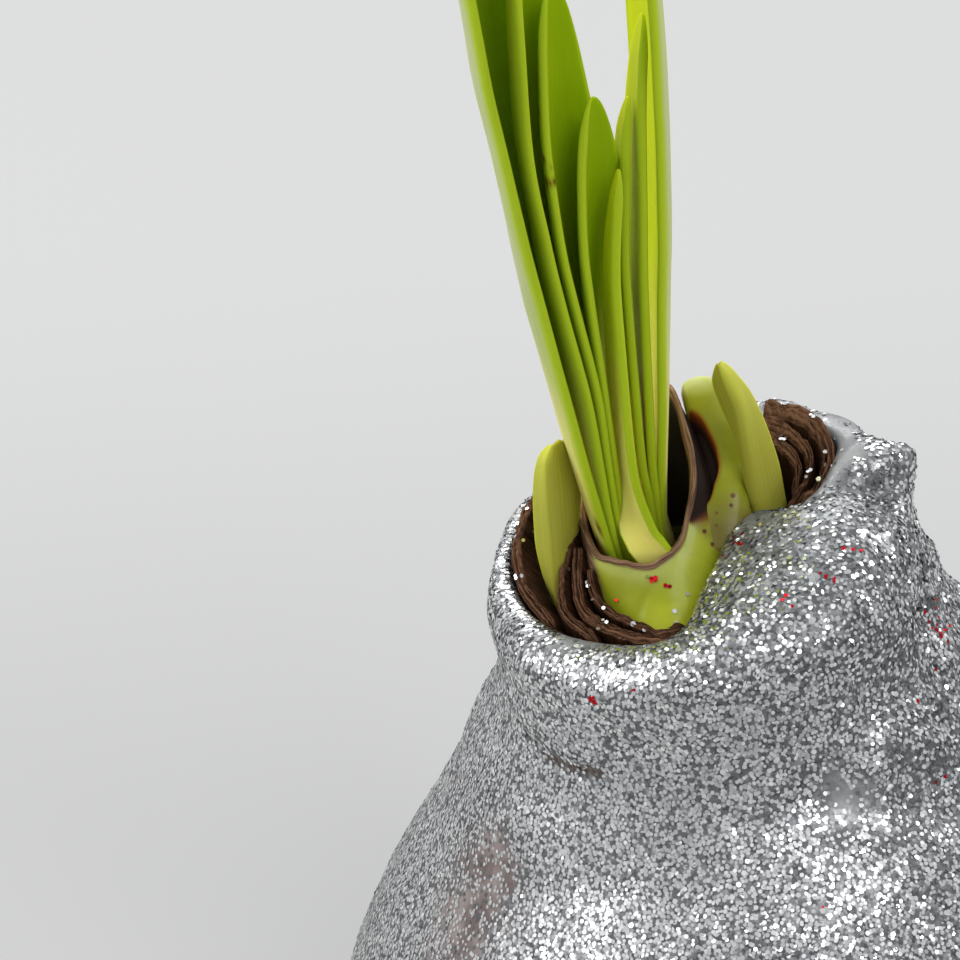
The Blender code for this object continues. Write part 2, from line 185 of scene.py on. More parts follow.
def smooth_rows(rows, pitch):
    """Rows of points smoothed into more rows, about one pitch apart."""
    rows = np.asarray(rows, float)
    ends = np.concatenate([rows[:1] * 2 - rows[1:2], rows, rows[-1:] * 2 - rows[-2:-1]])
    out = []
    for i in range(len(rows) - 1):
        gap = np.linalg.norm(rows[i + 1] - rows[i], axis=1).mean()
        count = max(1, round(gap / pitch))
        out += [hermite(*ends[i : i + 4], t) for t in np.linspace(0, 1, count, endpoint=False)]
    return np.array(out + [rows[-1]])


def ring_angles():
    """The direction of each station of a ring, anticlockwise from the right."""
    return np.arange(STEPS) * 2 * math.pi / STEPS


# Plan of the wax mouth, seen from above, anticlockwise from its right.
MOUTH = mm(
    (14.9, 6.6), (14.2, 9.6), (11.6, 13.0), (7.4, 15.6), (0.0, 16.6), (-8.0, 15.9), (-14.4, 12.0),
    (-17.6, 6.8), (-18.0, 1.8), (-16.6, -3.6), (-13.4, -8.4), (-9.0, -12.0), (-5.3, -13.6),
    (-2.2, -12.4), (-0.2, -8.0), (1.9, -4.0), (3.3, -0.9), (5.2, 1.0), (8.4, -0.7), (11.2, 0.2),
    (13.5, 2.8),
)


def mouth_ring(height):
    """The mouth's edge at a height from the rim, starting at its right."""
    curve = smooth_closed(MOUTH, STEPS)
    first = int(np.argmin(np.abs(np.arctan2(curve[:, 1], curve[:, 0]))))
    z = np.broadcast_to(RIM_HEIGHT + height, (STEPS,))
    return np.column_stack([np.roll(curve, -first, axis=0), z])


def body_radius(z):
    """Radius of the wax at a height: a round lower body, and a shoulder that ends in a neck."""
    if z < WIDEST_HEIGHT:
        return BULB_RADIUS * math.sqrt(1 - ((WIDEST_HEIGHT - z) / LOWER_DEPTH) ** 2)
    turn = min((z - WIDEST_HEIGHT) / SHOULDER_RISE, 1) * math.pi / 2
    shoulder = BULB_RADIUS * max(math.cos(turn), 0) ** SHOULDER_POWER
    return (shoulder**NECK_BLEND + NECK_RADIUS**NECK_BLEND) ** (1 / NECK_BLEND)


def body_profile():
    """Points (radius, height) up the outside of the wax, from its flat spot to its neck."""
    lowest = math.asin(WIDEST_HEIGHT / LOWER_DEPTH)
    low = WIDEST_HEIGHT - LOWER_DEPTH * np.sin(np.linspace(lowest, 0, PROFILE_LOW))
    high = np.linspace(WIDEST_HEIGHT, PROFILE_TOP, PROFILE_HIGH)[1:]
    return np.array([(body_radius(z), z) for z in np.r_[low, high]])


def profile_inset(profile, distance):
    """A profile of (radius, height) points moved inwards."""
    forward = np.gradient(profile, axis=0)
    forward /= np.linalg.norm(forward, axis=1)[:, None]
    return profile + distance * np.stack([-forward[:, 1], forward[:, 0]], axis=1)


def towards(angle, spread):
    """1 in one direction, fading out on both sides of it, at each station of a ring."""
    aside = (ring_angles() - angle + math.pi) % (2 * math.pi) - math.pi
    return np.exp(-((aside / spread) ** 2))


def round_ring(radius, z):
    """A ring about the straight axis; its radius and its height may change round it."""
    angle = ring_angles()
    radius = np.broadcast_to(radius, (STEPS,))
    z = np.broadcast_to(z, (STEPS,))
    return np.stack([radius * np.cos(angle), radius * np.sin(angle), z], axis=1)


def outer_rings():
    """Rings round the body of the wax, with the ledge at the left of its neck."""
    rings = []
    for radius, z in body_profile():
        swell = LEDGE_DEPTH * math.exp(-(((z - LEDGE_HEIGHT) / LEDGE_REACH) ** 2))
        rings.append(round_ring(radius + swell * towards(math.pi, LEDGE_SPREAD), z))
    return rings


def rim_rings():
    """Rings from the neck over the rim to the edge of the mouth, with its mound and its knob."""
    rise = RIM_RISE * (1 + np.cos(ring_angles() - RIM_RISE_TOWARDS)) / 2
    rise += BACK_RISE * towards(BACK_RISE_TOWARDS, BACK_RISE_SPREAD)
    mound = MOUND_RISE * towards(MOUND_TOWARDS, MOUND_SPREAD)
    knob = KNOB_RISE * towards(KNOB_TOWARDS, KNOB_SPREAD)
    mouth = mouth_ring(0)
    rings = []
    for share, height, lift in RIM_SECTION:
        ring = round_ring(body_radius(RIM_HEIGHT + height), 0)
        ring += (mouth - ring) * share
        ring[:, 2] = RIM_HEIGHT + height + lift * rise + lift * (1 - abs(2 * share - 1)) * mound
        ring[:, 2] += knob * math.exp(-(((share - KNOB_SHARE) / KNOB_REACH) ** 2))
        rings.append(ring)
    edge = mouth_ring(-EDGE_DROP)
    edge[:, 2] += rise
    return rings + [edge]


def inner_rings():
    """Rings down the mouth and round the inside of the wax, back to its flat spot."""
    mouth = [mouth_ring(height) for height in (-LIP_DEPTH, FLOOR, MOUTH_FOOT)]
    body = [round_ring(radius, z) for radius, z in profile_inset(body_profile(), WAX_THICKNESS)]
    return mouth + body[::-1]


# Mesh making.

SAME_PLACE = 1e-7  # corners nearer than this become one
NOISE_GAIN = 1.6
SEED_STEP = 17.3


def link(name, data):
    """A new object in the scene."""
    piece = bpy.data.objects.new(name, data)
    bpy.context.scene.collection.objects.link(piece)
    return piece


def warped_grid(name, points, fields):
    """A closed skin through (rows, columns, 3) points, with numbers at them that materials read.

    The last column joins the first, and the first and last row are each closed by a face.
    """
    points = np.concatenate([points, points[:, :1]], axis=1)
    rows, columns = points.shape[:2]
    mesh = bmesh.new()
    bmesh.ops.create_grid(mesh, x_segments=columns - 1, y_segments=rows - 1, size=0.5)
    layers = []
    for key, values in fields.items():
        values = np.broadcast_to(values, (rows, columns - 1))
        layers.append((mesh.verts.layers.float.new(key), values))
    for vert in mesh.verts:
        column = round((vert.co.x + 0.5) * (columns - 1))
        row = round((vert.co.y + 0.5) * (rows - 1))
        vert.co = points[row, column]
        for layer, values in layers:
            vert[layer] = values[row, column % (columns - 1)]
    bmesh.ops.remove_doubles(mesh, verts=mesh.verts, dist=SAME_PLACE)
    bmesh.ops.holes_fill(mesh, edges=[e for e in mesh.edges if e.is_boundary], sides=0)
    bmesh.ops.recalc_face_normals(mesh, faces=mesh.faces)
    data = bpy.data.meshes.new(name)
    mesh.to_mesh(data)
    mesh.free()
    data.shade_smooth()
    return link(name, data)


def grid_normals(points):
    """Outward unit normals of a (rows, columns, 3) array whose columns close on themselves."""
    along = np.gradient(points, axis=0)
    across = np.roll(points, -1, axis=1) - np.roll(points, 1, axis=1)
    return unit(np.cross(across, along))


def unit(vectors):
    """Vectors made one long."""
    return vectors / (np.linalg.norm(vectors, axis=-1)[..., None] + 1e-12)


def finish_piece(piece, node, material):
    """Give a piece its material, and the fixed node that it rides with and stands for."""
    piece.data.materials.append(material)
    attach(piece, "root")
    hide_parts(node)
    return piece


def wander(points, size, seed):
    """Smooth noise from about -1 to 1 at each point; size is its wavelength in metres."""
    scaled = np.asarray(points).reshape(-1, 3) / size + seed * SEED_STEP
    values = [noise.noise(p) for p in scaled.tolist()]
    return np.array(values).reshape(np.shape(points)[:-1]) * NOISE_GAIN


def bell(value, half):
    """1 at nought, fading out as the value passes half."""
    return np.exp(-((value / half) ** 2))


# Materials. Colours are linear, and the sizes of patterns are in cells per metre.


class Shader:
    """A material being made, with short ways to add and join its nodes."""

    def __init__(self, name, **sockets):
        self.material = bpy.data.materials.new(name)
        self.material.use_nodes = True
        self.tree = self.material.node_tree
        self.main = self.tree.nodes["Principled BSDF"]
        for socket, value in sockets.items():
            self.main.inputs[socket.replace("_", " ")].default_value = value

    def node(self, kind, **settings):
        made = self.tree.nodes.new(kind)
        for key, value in settings.items():
            setattr(made, key, value)
        return made

    def put(self, socket, value):
        """Link another node's socket, or set a plain value."""
        if isinstance(value, bpy.types.NodeSocket):
            self.tree.links.new(value, socket)
        else:
            socket.default_value = value

    def attribute(self, name):
        """A field of numbers that the piece carries."""
        return self.node("ShaderNodeAttribute", attribute_name=name).outputs["Fac"]

    def place(self, scale=(1, 1, 1)):
        """The place on the piece, in metres, with each of its axes scaled."""
        mapping = self.node("ShaderNodeMapping")
        self.put(mapping.inputs["Vector"], self.node("ShaderNodeTexCoord").outputs["Object"])
        mapping.inputs["Scale"].default_value = scale
        return mapping.outputs["Vector"]

    def axis(self, name):
        made = self.node("ShaderNodeSeparateXYZ")
        self.put(made.inputs["Vector"], self.place())
        return made.outputs[name]

    def combine(self, x, y, z):
        made = self.node("ShaderNodeCombineXYZ")
        for socket, value in zip(made.inputs, (x, y, z)):
            self.put(socket, value)
        return made.outputs["Vector"]

    def noise(self, vector, scale, detail=3.0, rough=0.55):
        made = self.node("ShaderNodeTexNoise")
        self.put(made.inputs["Vector"], vector)
        made.inputs["Scale"].default_value = scale
        made.inputs["Detail"].default_value = detail
        made.inputs["Roughness"].default_value = rough
        return made.outputs["Fac"]

    def cells(self, vector, scale, output="Color"):
        """A pattern of small cells, each with a colour of its own."""
        made = self.node("ShaderNodeTexVoronoi")
        self.put(made.inputs["Vector"], vector)
        made.inputs["Scale"].default_value = scale
        return made.outputs[output]

    def math(self, operation, a, b=0.0):
        made = self.node("ShaderNodeMath", operation=operation)
        self.put(made.inputs[0], a)
        self.put(made.inputs[1], b)
        return made.outputs["Value"]

    def spread(self, value, low, high, to_low=0.0, to_high=1.0):
        """A value between low and high, carried smoothly to between two others."""
        made = self.node("ShaderNodeMapRange", interpolation_type="SMOOTHSTEP")
        self.put(made.inputs["Value"], value)
        sockets = ("From Min", "From Max", "To Min", "To Max")
        for socket, number in zip(sockets, (low, high, to_low, to_high)):
            made.inputs[socket].default_value = number
        return made.outputs["Result"]

    def mix(self, share, a, b):
        made = self.node("ShaderNodeMix", data_type="RGBA")
        self.put(made.inputs["Factor"], share)
        self.put(made.inputs["A"], a if isinstance(a, bpy.types.NodeSocket) else (*a, 1.0))
        self.put(made.inputs["B"], b if isinstance(b, bpy.types.NodeSocket) else (*b, 1.0))
        return made.outputs["Result"]

    def bump(self, height, distance, strength=1.0):
        made = self.node("ShaderNodeBump")
        self.put(made.inputs["Height"], height)
        made.inputs["Distance"].default_value = distance
        made.inputs["Strength"].default_value = strength
        self.put(self.main.inputs["Normal"], made.outputs["Normal"])

    def soft(self, depth, radius):
        """How far light runs under the surface, for red, green and blue."""
        self.main.inputs["Subsurface Scale"].default_value = depth
        self.main.inputs["Subsurface Radius"].default_value = radius

    def colour(self, value):
        self.put(self.main.inputs["Base Color"], value)

    def roughness(self, value):
        self.put(self.main.inputs["Roughness"], value)


CREASE_BROWN = (0.09, 0.05, 0.03)
STAIN_BROWN = (0.12, 0.025, 0.006)


def wax_material():
    """Silver wax full of fine grains, plain grey where bare, brown where the bulb shows through."""
    shader = Shader("glitter wax", Metallic=0.35, Specular_IOR_Level=0.6)
    where = shader.place()
    cell = shader.node("ShaderNodeSeparateColor")
    shader.put(cell.inputs["Color"], shader.cells(where, 2600.0))
    dark_grain, light_grain = (0.075, 0.08, 0.085), (0.3, 0.31, 0.32)
    dark_wax, light_wax = (0.2, 0.205, 0.21), (0.31, 0.315, 0.32)
    dark_bulb, light_bulb = (0.15, 0.11, 0.1), (0.3, 0.25, 0.24)
    grains = shader.mix(shader.spread(cell.outputs["Red"], 0.2, 0.9), dark_grain, light_grain)
    bare = shader.attribute("bare")
    clouds = shader.noise(where, 260.0, 4.0)
    plain = shader.mix(shader.spread(clouds, 0.3, 0.7), dark_wax, light_wax)
    colour = shader.mix(bare, grains, plain)
    through = shader.mix(shader.spread(clouds, 0.35, 0.65), dark_bulb, light_bulb)
    colour = shader.mix(shader.attribute("brown"), colour, through)
    colour = shader.mix(shader.attribute("crease"), colour, CREASE_BROWN)
    shader.colour(colour)
    shader.roughness(shader.spread(cell.outputs["Green"], 0.0, 1.0, 0.28, 0.5))
    height = shader.math("MULTIPLY", cell.outputs["Blue"], shader.math("SUBTRACT", 1.0, bare))
    shader.bump(height, 0.00012)
    return shader.material


# Glitter: (name, colour, roughness, its share on smooth wax and on rough wax).
FLAKE_KINDS = (
    ("soft silver flake", (0.6, 0.605, 0.61), 0.42, 0.42, 0.22),
    ("silver flake", (0.8, 0.805, 0.81), 0.34, 0.30, 0.20),
    ("dark silver flake", (0.2, 0.205, 0.21), 0.4, 0.20, 0.28),
    ("bright flake", (0.93, 0.93, 0.93), 0.16, 0.08, 0.30),
    ("red flake", (0.55, 0.012, 0.02), 0.28, 0.0, 0.0),
)
SOFT_KIND, SILVER_KIND, DARK_KIND, BRIGHT_KIND, RED_KIND = range(len(FLAKE_KINDS))


def flake_materials():
    """One plain metal for each kind of flake."""
    made = []
    for name, colour, roughness, _, _ in FLAKE_KINDS:
        shader = Shader(name, Base_Color=(*colour, 1.0), Metallic=1.0, Roughness=roughness)
        made.append(shader.material)
    return made


def leaf_material(name, inner, outer, edge, foot):
    """Green blade: across runs from its front edge to its back edge, height in millimetres."""
    shader = Shader(name, Roughness=0.6, Specular_IOR_Level=0.07, Subsurface_Weight=0.6)
    shader.soft(0.0014, (0.9, 1.0, 0.2))
    across = shader.attribute("across")
    height = shader.attribute("height")
    face = shader.attribute("face")
    across_veins = shader.math("MULTIPLY", across, 26.0)
    veins = shader.combine(across_veins, shader.math("MULTIPLY", height, 0.03), face)
    veins = shader.noise(veins, 1.0, 3.0, 0.6)
    cloudy = shader.noise(shader.place((1, 1, 0.35)), 160.0, 3.0)
    colour = shader.mix(shader.spread(face, -0.3, 0.3), inner, outer)
    lighter = shader.mix(0.5, inner, edge)
    colour = shader.mix(shader.spread(cloudy, 0.35, 0.75, 0.0, 0.4), colour, lighter)
    colour = shader.mix(shader.spread(height, 30.0, 5.0), colour, foot)
    # Painted highlight: both edges of the blade are lightened to the edge colour, standing in for
    # light catching its rounded edges.
    for fades, reaches in ((0.13, 0.02), (0.93, 0.99)):
        colour = shader.mix(shader.spread(across, fades, reaches), colour, edge)
    darker = tuple(0.7 * c for c in inner)
    colour = shader.mix(shader.spread(veins, 0.45, 0.65, 0.0, 0.16), colour, darker)
    colour = shader.mix(shader.attribute("stain"), colour, STAIN_BROWN)
    shader.colour(colour)
    shader.bump(shader.math("ADD", veins, shader.math("MULTIPLY", cloudy, 0.3)), 0.00003, 0.5)
    return shader.material


def tunic_material():
    """Dry brown skin with fibres from its foot to its rim, and a paler torn rim."""
    shader = Shader("papery skin", Roughness=0.8, Specular_IOR_Level=0.1)
    dark_fibre, light_fibre = (0.008, 0.003, 0.001), (0.06, 0.022, 0.007)
    blotch, torn_rim = (0.05, 0.022, 0.012), (0.2, 0.1, 0.055)
    along = shader.attribute("along")
    height = shader.attribute("height")
    rim = shader.attribute("rim")
    across_fibres = shader.math("MULTIPLY", along, 3.4)
    threads = shader.combine(across_fibres, shader.math("MULTIPLY", height, 0.2), 0.0)
    fibres = shader.noise(threads, 1.0, 4.0, 0.7)
    layers = shader.combine(along, 0.0, shader.math("MULTIPLY", shader.attribute("depth"), 7.0))
    layers = shader.noise(layers, 1.0, 2.0)
    colour = shader.mix(shader.spread(fibres, 0.36, 0.66), dark_fibre, light_fibre)
    blotches = shader.noise(shader.place(), 420.0, 3.0)
    colour = shader.mix(shader.spread(blotches, 0.45, 0.7, 0.0, 0.6), colour, blotch)
    pale = shader.math("MULTIPLY", rim, shader.spread(layers, 0.35, 0.6, 0.25, 1.0))
    shader.colour(shader.mix(pale, colour, torn_rim))
    shader.bump(fibres, 0.0003)
    return shader.material


def scale_material():
    """Smooth fleshy green with a dry brown lip, brown pips and the dark dried pocket; that dark tint
    is also painted shade, on the pocket's walls and inside the collar.
    """
    shader = Shader("green scale", Roughness=0.36, Specular_IOR_Level=0.25, Subsurface_Weight=0.2)
    shader.soft(0.0012, (0.6, 0.8, 0.2))
    deep_green, light_green, streak = (0.3, 0.36, 0.006), (0.44, 0.49, 0.014), (0.55, 0.57, 0.1)
    dark_lip, light_lip = (0.1, 0.045, 0.024), (0.34, 0.2, 0.12)
    where = shader.place()
    rim = shader.attribute("rim")
    clouds = shader.noise(where, 150.0, 3.0)
    streaks = shader.noise(shader.place((1.0, 1.0, 0.25)), 420.0, 4.0)
    colour = shader.mix(shader.spread(clouds, 0.3, 0.7), deep_green, light_green)
    colour = shader.mix(shader.spread(streaks, 0.5, 0.78, 0.0, 0.3), colour, streak)
    for field, tint in (("dull", (0.2, 0.17, 0.03)), ("pale", (0.58, 0.6, 0.3))):
        colour = shader.mix(shader.attribute(field), colour, tint)
    pips = shader.spread(shader.cells(where, 850.0, "Distance"), 0.27, 0.17)
    pips = shader.math("MULTIPLY", pips, shader.attribute("pips"))
    colour = shader.mix(pips, colour, (0.12, 0.03, 0.01))
    along = shader.math("MULTIPLY", shader.attribute("along"), 0.3)
    layer = shader.math("MULTIPLY", shader.attribute("layer"), 0.9)
    fibres = shader.noise(shader.combine(along, layer, 0.0), 1.0, 4.0)
    dry = shader.mix(shader.spread(fibres, 0.35, 0.65), dark_lip, light_lip)
    # The dark tint is partly the dried pocket's own colour and partly painted shade in the pocket and
    # inside the collar.
    for field, tint in (("scorch", (0.26, 0.06, 0.008)), ("dark", (0.014, 0.006, 0.004))):
        colour = shader.mix(shader.attribute(field), colour, tint)
    shader.colour(shader.mix(rim, colour, dry))
    dried = shader.math("MAXIMUM", rim, shader.attribute("dark"))
    shader.roughness(shader.spread(dried, 0.0, 1.0, 0.33, 0.8))
    ridges = shader.math("MULTIPLY", fibres, rim)
    shader.bump(shader.math("ADD", streaks, ridges), 0.00008)
    return shader.material


def bulb_material():
    """The brown bulb, seen deep between the papery skins."""
    shader = Shader("bulb flesh", Roughness=0.65)
    dark, light = (0.02, 0.009, 0.005), (0.09, 0.05, 0.025)
    clouds = shader.noise(shader.place(), 300.0, 4.0)
    shader.colour(shader.mix(shader.spread(clouds, 0.3, 0.7), dark, light))
    shader.bump(clouds, 0.0004)
    return shader.material


def floor_material():
    """A pale grey floor, a little lighter at its back: painted light, standing in for light that
    falls off towards the front.
    """
    shader = Shader("pale floor", Roughness=0.85, Specular_IOR_Level=0.2)
    clouds = shader.noise(shader.place(), 3.0, 2.0)
    near = shader.mix(clouds, (0.398, 0.397, 0.395), (0.406, 0.405, 0.403))
    far = shader.mix(clouds, (0.452, 0.451, 0.449), (0.46, 0.459, 0.457))
    # Painted light: the colour brightens towards the back of the floor.
    shader.colour(shader.mix(shader.spread(shader.axis("Y"), 0.07, 0.28), near, far))
    return shader.material


# The wax, in degrees and mm; its spreads round the axis are in radians.

# Rough towards its right, from this height up, and half as rough at its back.
ROUGH_TOWARDS, ROUGH_SPREAD = -15, 0.95
ROUGH_FROM, ROUGH_RISE = 68, 12
ROUGH_BACK = 0.5
# Its waves: (length, height on smooth wax, more on rough wax), in mm.
WAVES = ((17.0, 0.45, 0.0), (6.5, 0.14, 0.6), (2.6, 0.04, 0.34))
PATCH_SIZE, PATCH_SEED = 2.2 * MM, 4
EQUATOR_DEPTH, EQUATOR_HALF = 0.9, 16 * MM  # the wax draws in a little at its widest
BODY_TOP = 60 * MM  # below this no lump stands out
FLAT_REACH = 5 * MM  # lumps fade out this far above the flat spot
EDGE_ROWS = 5  # and over this many rows before the mouth's edge
# Lumps and hollows. A spot is (angle, height, half width, half height, value).
LUMPS = (
    (-40, 97.0, 7.0, 4.0, 0.7), (12.5, 95.6, 2.0, 1.9, 2.0), (1.5, 96.4, 2.0, 1.8, -2.2),
    (-142, 88.2, 4.0, 1.4, 0.6), (-26, 93.0, 4.0, 2.5, 0.8), (-9, 90.0, 4.0, 3.0, -0.9),
    (-58, 92.5, 5.0, 2.5, 0.4), (-34, 87.0, 5.0, 3.0, -0.7), (-84, 95.0, 6.0, 2.5, 0.4),
    (-100, 69.0, 12.0, 4.5, 0.6), (-72, 73.0, 9.0, 4.0, 0.6), (-57, 75.0, 7.0, 4.0, -0.6),
    (-70, 80.0, 5.0, 3.5, -0.4), (178, 92.0, 4.0, 3.0, 0.4), (-50, 82.0, 6.0, 2.5, 0.6),
    (-20, 84.0, 4.0, 2.5, 0.7), (-2, 84.0, 4.0, 2.5, -0.6),
)
# Bare wax without flakes.
BARE_SPOTS = (
    (-69, 78.9, 2.6, 2.0, 1.0), (-71.5, 81.5, 1.8, 1.1, 0.7), (-36, 70.0, 2.0, 2.6, 0.7),
)
# Bare wax along the edge of the mouth: (angle, half width in degrees, reach in mm, value).
BARE_EDGE = (
    (24, 40, 4.4, 1.0), (-137, 14, 2.6, 0.9), (-112, 8, 1.8, 0.6), (85, 26, 2.8, 0.7),
    (130, 30, 2.4, 0.7),
)
# How solid and how ragged those strips are, and how mottled all the wax is.
STRIP_SOLID, STRIP_RAGGED, BARE_MOTTLE = 1.6, 0.5, 0.15
# Painted shade: where many flakes are dull and dark, in hollows such as the knob's cavity, standing
# in for the shade there.
PAINTED_SHADE_SPOTS = (
    (2.0, 96.8, 1.8, 1.6, 1.0), (-43, 97.0, 2.0, 1.2, 0.7), (-41, 87.9, 4.0, 3.0, 0.6),
    (-57, 74.5, 5.0, 4.0, 0.6), (-48, 79.0, 4.0, 3.0, 0.4), (-11, 90.0, 2.5, 3.5, 0.7),
    (-30, 78.0, 4.0, 4.0, 0.5),
)
# Where the brown bulb shows through.
BROWN = ((-153, 67.0, 6.0, 7.0, 1.0), (-149, 73.0, 3.5, 3.5, 0.6))
BROWN_SOLID, BROWN_RAGGED, BROWN_EDGE = 1.2, 0.3, 4
# The crease under the left of the rim, as (angle, height).
CREASE = (
    (-162.0, 88.6), (-156.0, 86.8), (-149.0, 85.5), (-142.0, 85.0), (-137.0, 85.0),
    (-129.0, 85.0), (-120.5, 85.1),
)
CREASE_END = 4  # degrees in which it fades out at each end
# In mm: how far the wax rises over it, how high above it and over which half width; how deep it
# cuts and over which half width; and the same place and half width for its brown line.
CREASE_RIDGE, CREASE_RIDGE_AT, CREASE_RIDGE_HALF = 0.6, 1.0, 1.3
CREASE_CUT, CREASE_CUT_HALF = 0.55, 0.45
CREASE_LINE_AT, CREASE_LINE_HALF = -0.1, 0.3
# Red flakes: (angle, height, reach in mm, share of the flakes there).
RED_SPOTS = (
    (-124.5, 92.7, 0.5, 0.7), (-113.0, 94.3, 0.4, 0.6), (-47.0, 96.9, 0.5, 0.7),
    (-62.0, 96.6, 0.4, 0.6), (-34.0, 97.0, 0.4, 0.6), (-21.0, 86.1, 2.4, 0.1),
    (-22.5, 88.3, 1.6, 0.12), (-25.0, 84.6, 1.6, 0.12), (24.0, 97.0, 0.3, 0.4),
    (17.0, 96.6, 0.3, 0.3),
)
RED_ANYWHERE = 0.0005  # share of all the other flakes that are red
# Bands with more sparkle: (height, half height, angle, spread, value), and the rim's own.
SPARKLE_BANDS = ((66, 7.5, -82, 0.6, 0.8), (94, 3.0, -75, 0.5, 0.5))
SPARKLE_BACK = 0.4
RIM_SPARKLE, RIM_SPARKLE_FROM, RIM_SPARKLE_RISE = 0.5, 91.5, 2


def apart(angle, degrees):
    """Signed angle between these angles and a direction in degrees, in radians."""
    return (angle - math.radians(degrees) + math.pi) % (2 * math.pi) - math.pi


def cylindrical(points):
    """Angle, radius and height of points of the straight design."""
    x, y, z = np.moveaxis(points, -1, 0)
    return np.arctan2(y, x), np.hypot(x, y), z


def spot_field(angle, height, radius, spots):
    """The spots' values at each place, each fading out as a bell."""
    total = np.zeros(np.shape(angle))
    for at, level, wide, tall, value in spots:
        across = apart(angle, at) * radius / (wide * MM)
        total += value * bell(across, 1) * bell(height - level * MM, tall * MM)
    return total


def crease_field(angle, height):
    """Height above the crease in mm, and 1 along it, fading to 0 past its ends."""
    degrees = np.degrees(angle)
    turns, levels = np.array(CREASE).T
    inside = rising(degrees, turns[0], CREASE_END) * falling(degrees, turns[-1], CREASE_END)
    return height / MM - np.interp(degrees, turns, levels), inside


def wax_relief(straight, rough):
    """Height in mm of the waves, the lumps and the crease at each straight place."""
    angle, radius, z = cylindrical(straight)
    relief = 0
    for seed, (size, smooth, more) in enumerate(WAVES, 1):
        relief = relief + (smooth + more * rough) * wander(straight, size * MM, seed)
    relief = relief + spot_field(angle, z, radius, LUMPS)
    above, inside = crease_field(angle, z)
    ridge = CREASE_RIDGE * bell(above - CREASE_RIDGE_AT, CREASE_RIDGE_HALF)
    return relief + inside * (ridge - CREASE_CUT * bell(above, CREASE_CUT_HALF))


def bare_wax(straight, patchy):
    """Where the wax has no flakes: in spots, and in strips along the edge of the mouth."""
    angle, radius, z = cylindrical(straight)
    bare = spot_field(angle, z, radius, BARE_SPOTS)
    reach = np.linalg.norm(straight - straight[-1:], axis=2) / MM
    for at, half, wide, value in BARE_EDGE:
        strip = np.clip(STRIP_SOLID - reach / wide + STRIP_RAGGED * patchy, 0, 1)
        bare += value * strip * bell(apart(angle, at), math.radians(half))
    return np.clip(bare + BARE_MOTTLE * patchy, 0, 1)


def sparkling_wax(angle, level, right, back):
    """Where flakes stand up and sparkle: at the right, the back, the rim and in two bands."""
    rim = RIM_SPARKLE * rising(level, RIM_SPARKLE_FROM, RIM_SPARKLE_RISE)
    sparkle = right + SPARKLE_BACK * back + rim
    for height, tall, at, spread, value in SPARKLE_BANDS:
        sparkle = sparkle + value * bell(level - height, tall) * bell(apart(angle, at), spread)
    return np.clip(sparkle, 0, 1)


def wax_fields(straight):
    """What the wax carries at each straight place: its relief, and fields from 0 to 1."""
    angle, radius, z = cylindrical(straight)
    level = z / MM
    high = rising(level, ROUGH_FROM, ROUGH_RISE)
    right = bell(apart(angle, ROUGH_TOWARDS), ROUGH_SPREAD) * high
    back = np.clip(np.sin(angle), 0, 1)
    rough = np.clip(right + ROUGH_BACK * back, 0, 1)
    patchy = wander(straight, PATCH_SIZE, PATCH_SEED)
    brown = spot_field(angle, z, radius, BROWN)
    ragged_brown = np.clip(brown * BROWN_SOLID + BROWN_RAGGED * patchy, 0, 1)
    above, inside = crease_field(angle, z)
    return wax_relief(straight, rough), {
        "bare": bare_wax(straight, patchy),
        "brown": ragged_brown * np.clip(brown * BROWN_EDGE, 0, 1),
        "crease": inside * bell(above - CREASE_LINE_AT, CREASE_LINE_HALF),
        "painted_shade": np.clip(spot_field(angle, z, radius, PAINTED_SHADE_SPOTS), 0, 1),
        "sparkle": sparkling_wax(angle, level, right, back),
    }


def wax_outside():
    """The wax's outer skin in the straight design, with its lumps, and its fields."""
    rows = smooth_rows(outer_rings() + rim_rings(), ROW_PITCH)
    relief, fields = wax_fields(rows)
    height = rows[..., 2]
    keep_flat = rising(height, 0, FLAT_REACH)
    keep_edge = falling(np.arange(len(rows)), len(rows) - 1, EDGE_ROWS)[:, None]
    equator = bell(height - WIDEST_HEIGHT, EQUATOR_HALF)
    depth = (relief - EQUATOR_DEPTH * equator) * keep_flat * keep_edge
    depth = np.where(height < BODY_TOP, np.minimum(depth, 0.0), depth)
    return rows + grid_normals(rows) * depth[..., None] * MM, fields


def add_wax(rows, fields):
    """The wax skin, outside and inside, in place of the plain wax coat."""
    inner = np.array(inner_rings())
    nothing = np.zeros(inner.shape[:2])
    shown = {key: np.concatenate([fields[key], nothing]) for key in ("bare", "brown", "crease")}
    piece = warped_grid("wax_skin", lean(np.concatenate([rows, inner])), shown)
    return finish_piece(piece, "wax_coat", wax_material())


# The glitter on the wax.

FLAKE_RADIUS = 0.215 * MM
FLAKE_PITCH = 0.43 * MM
FLAKE_LINES = 0.86  # pitch of the lines of flakes, as a share of the flakes' own
FLAKE_JITTER = 0.34  # shares of the pitch
FLAKE_LIFT = 0.08  # mm
FLAKE_TILT, SPARKLE_TILT = 3.5, 15  # degrees, on smooth wax and more where it sparkles
FLAKE_PIECES = 4
FLAKE_COVER = 0.98  # share of the places that hold a flake
BROWN_LESS = 0.55  # how much smaller that share is where the bulb shows through
FOOT_LESS, FOOT_FADE = 0.25, 22 * MM  # and at the flat spot, and up to which height
# Share of the flakes made dark at the painted shade spots.
PAINTED_SHADE_SHARE = 0.75
SIZE_SPREAD, SIZE_LEAST, SIZE_MOST = 0.12, 0.7, 1.35  # shares of the radius
FOOT_MARGIN = 1.5 * MM  # no flakes nearer than this to the flat spot
SEED = 11


